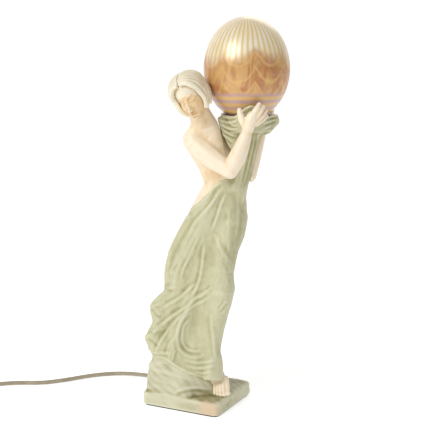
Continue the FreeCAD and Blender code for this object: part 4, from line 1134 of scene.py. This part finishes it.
def face_relief(x, z):
    """How far each place of a calm, plain face stands forward of a smooth egg, in millimetres."""
    side = np.abs(x)
    relief = 0.9 * spot(side, z, 0, 13, 12, 7)
    brow = z - 5.6 + 0.03 * (side - 8) ** 2
    relief += 1.3 * np.exp(-((side - 8.2) / 5.2) ** 2 - (brow / 1.7) ** 2)
    relief -= 3.9 * spot(side, z, 7.6, 1.0, 4.8, 3.2)
    bridge = smoothstep(5.5, 1.0, z) * smoothstep(-14.6, -13.2, z)
    rise = 1.4 + 4.4 * np.clip((3.5 - z) / 15.5, 0, 1) ** 1.1
    relief += bridge * rise * np.exp(-(side / (2.0 + 0.06 * (3.5 - z))) ** 2)
    relief += 1.2 * spot(side, z, 0, -11.6, 2.3, 1.8)
    relief += 2.2 * spot(side, z, 3.3, -12.5, 1.45, 1.5) * smoothstep(-15.0, -13.4, z)
    relief -= 0.35 * spot(side, z, 1.8, -14.2, 0.9, 0.6)
    relief -= 0.45 * spot(side, z, 0, -16.1, 0.8, 1.3)
    relief += 1.5 * np.exp(-((side - 1.9) / 2.7) ** 2 - ((z + 17.9 + 0.05 * side) / 0.95) ** 2)
    parting = z + 19.25 - 0.012 * side ** 2
    relief -= 1.15 * np.exp(-(parting / 0.55) ** 2) * smoothstep(7.0, 5.0, side)
    relief += 1.9 * spot(side, z, 0, -20.7, 3.8, 1.15)
    relief -= 0.9 * spot(side, z, 0, -23.2, 4.2, 1.1)
    relief += 2.3 * spot(side, z, 0, -26.6, 4.8, 2.6)
    relief += 1.3 * spot(side, z, 9.6, -8.5, 4.6, 4.6)
    relief -= 0.6 * spot(side, z, 11.5, -16.5, 3.6, 4.0)
    from_eye = side - 8.0
    ball = np.sqrt(np.clip(1 - (from_eye / 4.6) ** 2 - ((z + 0.2) / 3.3) ** 2, 0, 1))
    relief += 2.4 * ball
    lash = z + 2.1 - 0.055 * from_eye ** 2
    within = smoothstep(4.6, 3.6, np.abs(from_eye))
    relief -= 1.05 * np.exp(-(lash / 0.5) ** 2) * within
    relief += 0.45 * np.exp(-((lash - 0.75) / 0.45) ** 2) * within
    crease = z - 2.5 + 0.075 * from_eye ** 2
    relief -= 0.7 * np.exp(-(crease / 0.5) ** 2) * within
    return relief


def head_parts():
    """Skull, face, jaw and neck, ready to be made one with the shoulders."""
    turn = HEAD_TURN * HEAD_SCALE
    parts = [
        egg(of_head(0, 4.5, 7.0), (18.5, 21.5, 22.0), turn),
        egg(of_head(0, -5.0, -5.0), (15.8, 15.2, 22.5), turn),
        egg(of_head(0, -10.5, -20.5), (8.6, 8.6, 8.0), turn),
        egg(of_head(0, 0.0, -12.0), (15.0, 15.5, 13.0), turn),
    ]
    base = of_head(0, 7.0, -14.0)
    parts.append(rod([tuple(base), (-1.0, -14.0, 462.0), (3.0, -8.0, 449.0), (8.0, 0.0, 436.0),
                      (10.0, 3.0, 426.0)], [12.5, 12.4, 13.0, 16.0, 20.0], 24))
    parts.append(rod([(6.0, -9.0, 468.0), (13.0, -6.0, 454.0), (19.0, -4.0, 441.0),
                      (24.0, -4.0, 428.0), (28.0, -6.0, 410.0), (33.0, -10.0, 388.0)],
                     [10.0, 10.5, 12.5, 13.0, 13.0, 12.0], 24))
    return parts


# ---- Bare skin ----------------------------------------------------------------------------

SKIN_LINES = [
    (0.8, 2.2, 0, [(197, 129.5), (204, 130), (211, 127.5), (217, 124)]),
    (0.6, 2.2, 0, [(195, 129.5), (190, 131), (185.5, 133.5)]),
    (-0.5, 2.4, 0, [(192, 134), (198, 134.8), (205, 134.5)]),
    (0.6, 2.0, 0, [(207, 114), (203.5, 121), (198, 128.5)]),
    (0.9, 5.0, 0, [(207, 137), (213, 141), (219, 145.5), (223, 149)]),
    (0.8, 3.2, 0, [(187, 140), (191, 146)]),
    (0.5, 2.6, 0, [(233, 164), (237, 152), (241, 140)]),
    (-0.9, 3.2, 0, [(207, 178), (204.5, 190), (199.5, 200)]),
    (0.9, 3.4, 0, [(202, 172), (200, 186), (194, 199)]),
]
# In millimetres, across from the figure's own left, and up
BACK_SKIN_LINES = [
    (-1.6, 3.6, 0, [(16, 432), (24, 405), (33, 375), (38, 345)]),
    (1.6, 7.0, 0, [(6, 420), (8, 402), (14, 386)]),
    (1.4, 7.0, 0, [(36, 424), (38, 406), (40, 390)]),
    (-0.8, 3.0, 0, [(14, 384), (20, 376), (28, 372)]),
    (0.9, 5.0, 0, [(28, 372), (30, 356), (32, 340)]),
    (0.8, 5.0, 0, [(46, 372), (48, 356), (48, 340)]),
]
SKIN_TRIANGLES = 190000
# Path in millimetres and radii of each rod that rounds an arm or makes a finger
ARM_RODS = [
    ([(-4.0, -9.0, 413.0), (20.5, -26.0, 391.5), (50.0, -44.0, 374.0)], (14.4, 15.0, 11.6)),
    ([(50.0, -44.0, 374.0), (59.5, -46.0, 393.0), (69.5, -47.0, 416.0), (75.0, -47.0, 433.0)],
     (11.4, 13.2, 10.6, 8.0)),
]
FINGERS = [
    ([(72.0, -47.0, 441.0), (66.8, -46.5, 450.0), (64.2, -45.0, 459.0), (63.4, -42.5, 466.5)],
     (5.0, 4.4, 3.9, 3.1)),
    ([(79.0, -51.0, 451.0), (85.5, -53.5, 461.5), (90.0, -52.5, 469.0), (93.0, -48.5, 475.0)],
     (4.9, 4.3, 3.8, 3.0)),
    ([(83.5, -50.5, 450.5), (91.0, -52.0, 459.5), (96.0, -50.0, 466.5), (98.6, -45.5, 471.5)],
     (4.8, 4.3, 3.8, 3.1)),
    ([(86.0, -48.0, 447.0), (94.5, -48.5, 454.5), (100.2, -46.0, 460.5), (103.2, -41.5, 465.0)],
     (4.6, 4.2, 3.7, 3.0)),
    ([(86.0, -45.0, 443.0), (95.0, -44.0, 448.5), (101.0, -41.5, 453.0), (104.6, -37.5, 457.0)],
     (4.3, 3.8, 3.4, 2.8)),
]


def skin_body():
    """Torso, upper arms, forearms, neck and head as one skin, before the hands."""
    hip = copies("hip", "skirt")
    keep_side(hip, placed(-3.0, 0.0, 312.0), turned(0.60, -0.12, -0.79).normalized())
    parts = [copies("limbs", "torso", "right_arm", "left_arm"), hip] + head_parts()
    parts.append(egg((-4.0, -8.0, 414.5), (14.0, 14.5, 15.5)))
    parts.append(egg((21.0, -13.0, 396.0), (15.0, 12.0, 15.0)))
    for path, radii in ARM_RODS:
        parts.append(rod(path, radii, 24))
    body = join("body", parts)
    remesh(body, 0.0017)
    soften(body, 22)
    return body


def fingers_of(own):
    """1 at the fingers, from points of the figure's own frame."""
    return smoothstep(436, 444, own[:, 2]) * smoothstep(58, 64, own[:, 0])


def make_skin():
    """Bare back, shoulders, arms, hands and head in one smooth skin."""
    parts = [skin_body(), copies("palms", "right_hand", "left_hand")]
    for path, radii in FINGERS:
        parts.append(rod(path, radii, 12))
    wrist_path = [(74.5, -47.0, 432.0), (77.0, -49.0, 441.0), (81.0, -50.0, 450.0)]
    parts.append(rod(wrist_path, (7.8, 9.2, 7.6), 16))
    piece = join("bare_skin", parts)
    remesh(piece, 0.0009)
    own = own_frame(read(piece))
    soften(piece, 20, 1 - 0.6 * fingers_of(own))
    x, y, z = own.T
    neck = bell((x, z), (6, 437), (17, 11))
    waist = bell([z], [345], [6])
    armpit = bell((x, y, z), (-2, -4, 402), (16, 16, 14))
    collar = bell((x, z), (22, 420), (18, 18)) * (y > -22)
    wrist = bell((x, y, z), (74, -47, 434), (9, 12, 7))
    blend = np.clip(neck + waist + collar + 0.7 * armpit + 0.5 * wrist, 0, 1)
    write(piece, averaged(read(piece), edges_of(piece), 90, 0.5, blend))
    detail_face(piece)
    points = read(piece)
    normals = normals_of(piece)
    own = own_frame(points)
    below_head = smoothstep(-18, -26, head_frame(points)[:, 2])
    front = seen(normals, 0.05, 0.5) * (1 - fingers_of(own)) * below_head
    points = carve(points, normals, picture(points), front, SKIN_LINES)
    behind = smoothstep(0.15, 0.6, own_headings(normals)[:, 1]) * (own[:, 0] < 62) * below_head
    points = carve(points, normals, own[:, [0, 2]], behind, BACK_SKIN_LINES)
    write(piece, points)
    # Painted shade: face, under the chin and under the arm darkened, on top of the shade in hollows
    x, y, z = head_frame(points).T
    face = smoothstep(17, 14, np.abs(x)) * smoothstep(-2, -8, y) * smoothstep(-33, -29, z)
    x, _, z = own_frame(points).T
    shade_under_chin = bell((x, z), (2, 447), (14, 12))
    shade_under_arm = bell((x, z), (30, 362), (14, 12))
    shade = 0.20 * np.maximum(face, 0.5 * shade_under_chin) + 0.12 * shade_under_arm
    keep_hollow_shade(piece, 16, 0.0012, face, shade)
    thin_out(piece, SKIN_TRIANGLES)
    wear(piece, skin_glaze)
    return piece


def detail_face(piece):
    """Finer mesh at the face, then its relief pushed forward from the smooth head."""
    local = head_frame(read(piece))
    height = local[:, 2]
    chosen = (np.abs(local[:, 0]) < 15) & (local[:, 1] < -6) & (height > -31) & (height < 15)
    shape = bmesh.new()
    shape.from_mesh(piece.data)
    shape.verts.ensure_lookup_table()
    faces = [face for face in shape.faces if all(chosen[vert.index] for vert in face.verts)]
    edges = list({edge for face in faces for edge in face.edges})
    bmesh.ops.subdivide_edges(shape, edges=edges, cuts=1, use_grid_fill=True)
    shape.to_mesh(piece.data)
    shape.free()
    points = read(piece)
    normals = normals_of(piece)
    local = head_frame(points)
    forward = np.array(turned(*(HEAD_TURN @ Vector((0, -1, 0)))).normalized())
    front = smoothstep(-3, -9, local[:, 1]) * smoothstep(-0.1, 0.35, normals @ forward)
    front = front * smoothstep(-33, -29, local[:, 2])
    lift = face_relief(local[:, 0], local[:, 2]) * front
    write(piece, points + lift[:, None] * forward * HEAD_SCALE / 1000)


skin = make_skin()
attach(skin, "figure")
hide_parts("torso", "right_arm", "left_arm", "right_hand", "left_hand", "head")

# ---- Hair ---------------------------------------------------------------------------------

LOCKS_A_SIDE = 11


def lock_path(side, index):
    """Middle line of one lock, in the head's frame: from the parting round the head and down."""
    share = index / (LOCKS_A_SIDE - 1)
    part_angle = math.radians(-47 + 79 * share)
    start = Vector((0.05 * side, math.sin(part_angle), math.cos(part_angle)))
    bearing = math.radians(60 + 112 * share)
    side_way = Vector((side * math.sin(bearing), -math.cos(bearing), 0.0))
    sweep = Vector((side * math.sin(bearing * 0.8), -math.cos(bearing * 0.8), 0.0))
    line = []
    steps = 11
    for step in range(steps + 1):
        t = step / steps
        over = sweep * 0.9 + Vector((0, 0, 0.75))
        heading = start * (1 - t) ** 2 + over * (2 * t * (1 - t)) + side_way * t ** 2
        heading = heading.normalized()
        wave = 0.9 * math.sin(6.0 * t + 1.7 * index + side)
        puff = 1.0 + 0.10 * math.sin(math.pi * min(1.0, 0.15 + 0.75 * t))
        point = Vector((heading.x * 21.8 * puff, 3.0 + heading.y * 24.8 * puff,
                        7.0 + heading.z * 24.6 * puff))
        tangent = Vector((-heading.y, heading.x, 0))
        line.append(point + tangent * wave)
    end = line[-1]
    fall = 27.0 + 2.0 * math.sin(2.3 * index) - 4.0 * share
    for step in range(1, 6):
        t = step / 5
        inward = 1.0 + 0.06 * t - 0.30 * t ** 3
        wave = 1.1 * math.sin(6.0 + 3.5 * t + 1.7 * index)
        line.append(Vector((end.x * inward - 0.10 * wave * end.y,
                            3.0 + (end.y - 3.0) * inward + 0.1 * wave * end.x,
                            end.z - fall * t)))
    return line


def lock_headings(paths, own):
    """For each point: the nearest place on a lock's middle line, and the line's heading there."""
    lines = [flowing(path, 4) for path in paths]
    along = [np.gradient(line, axis=0) for line in lines]
    places = np.vstack(lines)
    headings = np.vstack([run / np.linalg.norm(run, axis=1)[:, None] for run in along])
    tree = KDTree(len(places))
    for index, place in enumerate(places):
        tree.insert(Vector(place), index)
    tree.balance()
    nearest = np.array([tree.find(Vector(point))[1] for point in own])
    return places[nearest], headings[nearest]


def make_hair():
    """Parted, softly waved hair, cut at the jaw, its locks rolled under."""
    parts = [egg(of_head(0, 5.0, 8.5), (20.0, 23.0, 22.0), HEAD_TURN * HEAD_SCALE)]
    paths = []
    for side in (-1, 1):
        for index in range(LOCKS_A_SIDE):
            path = [tuple(of_head(*point)) for point in lock_path(side, index)]
            shares = [k / (len(path) - 1) for k in range(len(path))]
            radii = [2.3 + 2.3 * math.sin(math.pi * (0.10 + 0.80 * share)) for share in shares]
            paths.append(path)
            parts.append(rod(path, radii, 10))
    piece = join("waved_hair", parts)
    remesh(piece, 0.0008)
    soften(piece, 6)
    points = read(piece)
    normals = normals_of(piece)
    own = own_frame(points)
    places, headings = lock_headings(paths, own)
    across = np.cross(headings, own_headings(normals))
    offset = np.einsum("ij,ij->i", own - places, across) * 2 * math.pi
    strands = 0.20 * np.cos(offset / 1.75) + 0.08 * np.cos(offset / 0.9 + 1)
    own = own_frame(points + normals * strands[:, None] / 1000)
    write(piece, lamp_frame(clear_of_globe(own)))
    # Painted shade in the grooves between the locks
    keep_hollow_shade(piece, 10, 0.0006)
    wear(piece, hair_glaze)
    return piece


def clear_of_globe(own):
    """Points of the figure's own frame pushed out, where need be, to a skin just off the globe."""
    axis = np.array([GLOBE_X, GLOBE_Y])
    from_axis = own[:, :2] - axis
    level = np.clip((own[:, 2] - GLOBE_CENTRE_Z) / (GLOBE_HALF_HEIGHT + 2.0), -1, 1)
    needed = (GLOBE_RADIUS + 1.6) * np.sqrt(1 - level ** 2)
    clear = np.maximum(needed / np.hypot(*from_axis.T), 1.0)
    return np.column_stack([axis + from_axis * clear[:, None], own[:, 2]])


hair = make_hair()
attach(hair, "figure")
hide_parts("hair")

# ---- Foot ---------------------------------------------------------------------------------

# Tip of each toe, from the smallest to the big one, and its radius
TOES = [((27.5, -46.5, 26.6), 3.3), ((31.8, -50.5, 26.6), 3.5), ((36.4, -53.0, 26.8), 3.7),
        ((41.2, -53.5, 27.0), 3.9), ((46.6, -50.0, 28.2), 5.0)]


def make_foot():
    """Bare foot that steps out of the hem, its five toes apart."""
    instep = copies("sole", "foot")
    keep_side(instep, placed(0.0, -38.0, 0.0), turned(0.0, -1.0, 0.0).normalized())
    parts = [instep]
    for index, (place, radius) in enumerate(TOES):
        tip = Vector(place)
        root = tip + Vector((0.6 - 0.9 * index, 26.0 - abs(index - 2), 17.0))
        knuckle = tip + Vector((0.3 - 0.4 * index, 10.0, 9.5))
        parts.append(rod([tuple(root), tuple(knuckle), tuple(tip)],
                         (radius + 1.6, radius * 1.05, radius * 0.8), 12))
        parts.append(egg(tip, (radius * 0.92, radius * 1.1, radius * 0.85)))
    piece = join("bare_foot", parts)
    remesh(piece, 0.0007)
    soften(piece, 9)
    points = read(piece)
    behind_toes = smoothstep(-42, -33, own_frame(points)[:, 1])
    write(piece, averaged(points, edges_of(piece), 70, 0.5, behind_toes))
    # Painted shade between the toes and in the foot's other hollows
    keep_hollow_shade(piece, 14, 0.0009)
    wear(piece, skin_glaze)
    return piece


foot = make_foot()
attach(foot, "figure")
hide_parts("foot")

# ---- Globe --------------------------------------------------------------------------------

def lustre_finish():
    """Iridescent glass: gold ribs on pearl above, amber arches in the middle, mauve bands below."""
    finish = Finish("lustre_glass", Metallic=0.15, Coat_Weight=0.32, Coat_Roughness=0.38,
                    Specular_IOR_Level=0.45)
    centre = tuple(placed(GLOBE_X, GLOBE_Y, GLOBE_CENTRE_Z))
    from_centre = finish.node("ShaderNodeVectorMath", {"operation": "SUBTRACT"},
                              {0: finish.place(), 1: centre})
    x = finish.node("ShaderNodeSeparateXYZ", None, {0: from_centre})
    y = Wire(finish, x.socket.node.outputs[1])
    z = Wire(finish, x.socket.node.outputs[2])
    bearing = y.maths("ARCTAN2", x)
    level = z / (GLOBE_HALF_HEIGHT / 1000)
    drift = finish.noise(18.0, 4.0, 0.6, twist=0.8)
    fine = finish.noise(70.0, 5.0, 0.6, twist=0.5)
    drawn = finish.noise(46.0, 4.0, 0.6, finish.place(1.0, 1.0, 0.42), 1.6)
    ribs = (bearing * 44.0 + (drift - 0.5) * 2.2).sine() * 0.5 + 0.5
    arches = (bearing * 4.0 + 0.6).sine().maths("ABSOLUTE")
    sway = (bearing * 3.0 + 1.2).sine()
    leaves = ((level + arches * 0.30 + (drift - 0.5) * 0.30) * 22.0).sine()
    bands = ((level * 46.0 + (drift - 0.5) * 3.0).sine()) * 0.5 + 0.5
    pearl = finish.mix(drift.between(0.35, 0.7), srgb(244, 226, 192), srgb(246, 238, 220))
    top = finish.mix(ribs.between(0.40, 0.95) * 0.8, pearl, srgb(226, 194, 110))
    amber = finish.mix(drawn.between(0.36, 0.62), srgb(188, 126, 76), srgb(216, 170, 108))
    amber = finish.mix(fine.between(0.50, 0.72) * 0.55, amber, srgb(202, 156, 138))
    amber = finish.mix(leaves.between(0.55, 0.98) * 0.55, amber, srgb(226, 184, 112))
    lower = finish.mix(bands.between(0.2, 0.8), srgb(194, 158, 154), srgb(218, 178, 112))
    lower = finish.mix(fine.between(0.5, 0.8) * 0.5, lower, srgb(182, 166, 182))
    edge = level + arches * 0.16 + sway * 0.06 + (drift - 0.5) * 0.34
    colour = finish.mix(edge.between(0.18, 0.52), amber, top)
    colour = finish.mix((level + (drift - 0.5) * 0.12).between(-0.50, -0.34), lower, colour)
    # Painted shadow: dark brown just above the neck, where the cloth shades the globe
    colour = finish.mix(level.between(-0.92, -0.78), srgb(124, 84, 56), colour)
    finish.link("Base Color", colour)
    finish.link("Roughness", 0.33 + (fine - 0.5) * 0.12)
    finish.relief(fine * 0.5 + ribs * 0.5, 0.12, 1.2e-4)
    return finish


def make_globe():
    """Hollow glass egg on a short neck."""
    def arc(inset, angles):
        return [((GLOBE_RADIUS - inset) * math.cos(angle),
                 GLOBE_CENTRE_Z + (GLOBE_HALF_HEIGHT - inset) * math.sin(angle))
                for angle in angles]

    outer = [math.radians(-60 + 149 * step / 40) for step in range(40)]
    inner = [math.radians(86 - 146 * step / 20) for step in range(21)]
    foot, shoulder = SEAT_Z + 0.1, SEAT_Z + 6.0
    top = GLOBE_CENTRE_Z + GLOBE_HALF_HEIGHT
    bore = NECK_RADIUS - GLOBE_WALL
    outline = [(NECK_RADIUS, foot), (NECK_RADIUS, shoulder)] + arc(0.0, outer)
    outline += [(0.4, top), (0.4, top - GLOBE_WALL)] + arc(GLOBE_WALL, inner)
    outline += [(bore, shoulder), (bore, foot)]
    piece = spun("lustre_globe", outline, 128)
    wear(piece, lustre_finish())
    return piece


globe = make_globe()
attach(globe, "globe")
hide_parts("globe")

# ---- Light fitting ------------------------------------------------------------------------

PLAIN_NODES = {
    "gallery": brass, "seat_ring": cork_finish, "nipple": brass, "lock_nut": brass,
    "holder_cap": dark_resin, "holder_shell": dark_resin, "holder_insert": porcelain,
    "screw_shell": brass, "centre_contact": brass, "bulb_glass": bulb_glass, "bulb_cap": steel,
    "bulb_insulator": dark_resin, "bulb_tip": steel, "bulb_stem": bulb_glass,
    "bulb_filament": filament_metal, "inner_lead": lead_finish, "felt_pad": felt_finish,
}
for node_name, finish in PLAIN_NODES.items():
    wear(nodes[node_name], finish)

# ---- Stage --------------------------------------------------------------------------------

def make_floor():
    """Plain pale floor that turns up into a backdrop far behind."""
    turns = [math.radians(90 * step / 12) for step in range(13)]
    profile = [(-3.0, 0.0), (3.0, 0.0)]
    profile += [(3.0 + 1.5 * math.sin(turn), 1.5 - 1.5 * math.cos(turn)) for turn in turns]
    profile.append((4.5, 5.0))
    cosine, sine = math.cos(CAMERA_SWING), math.sin(CAMERA_SWING)
    points = [(across * cosine - run * sine, across * sine + run * cosine, height)
              for run, height in profile for across in (-5.0, 5.0)]
    faces = [(2 * row, 2 * row + 1, 2 * row + 3, 2 * row + 2) for row in range(len(profile) - 1)]
    piece = piece_from("studio_floor", points, faces)
    for polygon in piece.data.polygons:
        polygon.use_smooth = True
    paint = Finish("studio_paper", Roughness=0.9, Emission_Strength=1.0)
    paper = paint.noise(6.0, 2.0)
    paint.link("Base Color", paint.mix(paper, (0.92, 0.92, 0.92), (0.94, 0.94, 0.94)))
    direct = paint.node("ShaderNodeLightPath")
    rays = direct.socket.node.outputs
    for ray in ("Is Glossy Ray", "Is Transmission Ray"):
        direct = direct.maths("MAXIMUM", Wire(paint, rays[ray]))
    paint.link("Emission Color", paint.mix(direct, (0.26, 0.26, 0.26), (0.45, 0.45, 0.45)))
    wear(piece, paint)
    return piece


floor = make_floor()


def lamp(name, place, target, size, power):
    """Round white soft light that looks at a target."""
    data = bpy.data.lights.new(name, "AREA")
    data.shape = "DISK"
    data.size = size
    data.energy = power
    owner = linked(name, data)
    owner.location = place
    heading = Vector(target) - Vector(place)
    owner.rotation_euler = heading.to_track_quat("-Z", "Y").to_euler()


lamp("key", (-0.75, -2.1, 2.0), (0, 0, 0.3), 1.4, 36)
lamp("fill", (2.2, -0.9, 1.1), (0, 0, 0.3), 1.8, 2)
lamp("back", (-0.4, 2.2, 1.8), (0, 0, 0.35), 1.4, 7)

world = bpy.data.worlds.new("studio")
world.use_nodes = True
bpy.context.scene.world = world
sky = world.node_tree.nodes["Background"]
sky.inputs["Color"].default_value = (1, 1, 1, 1)
light_path = world.node_tree.nodes.new("ShaderNodeLightPath")
strength = world.node_tree.nodes.new("ShaderNodeMapRange")
strength.inputs["To Min"].default_value = 0.46
strength.inputs["To Max"].default_value = 1.0
world.node_tree.links.new(light_path.outputs["Is Camera Ray"], strength.inputs["Value"])
world.node_tree.links.new(strength.outputs["Result"], sky.inputs["Strength"])

bpy.context.scene.view_settings.view_transform = "Standard"
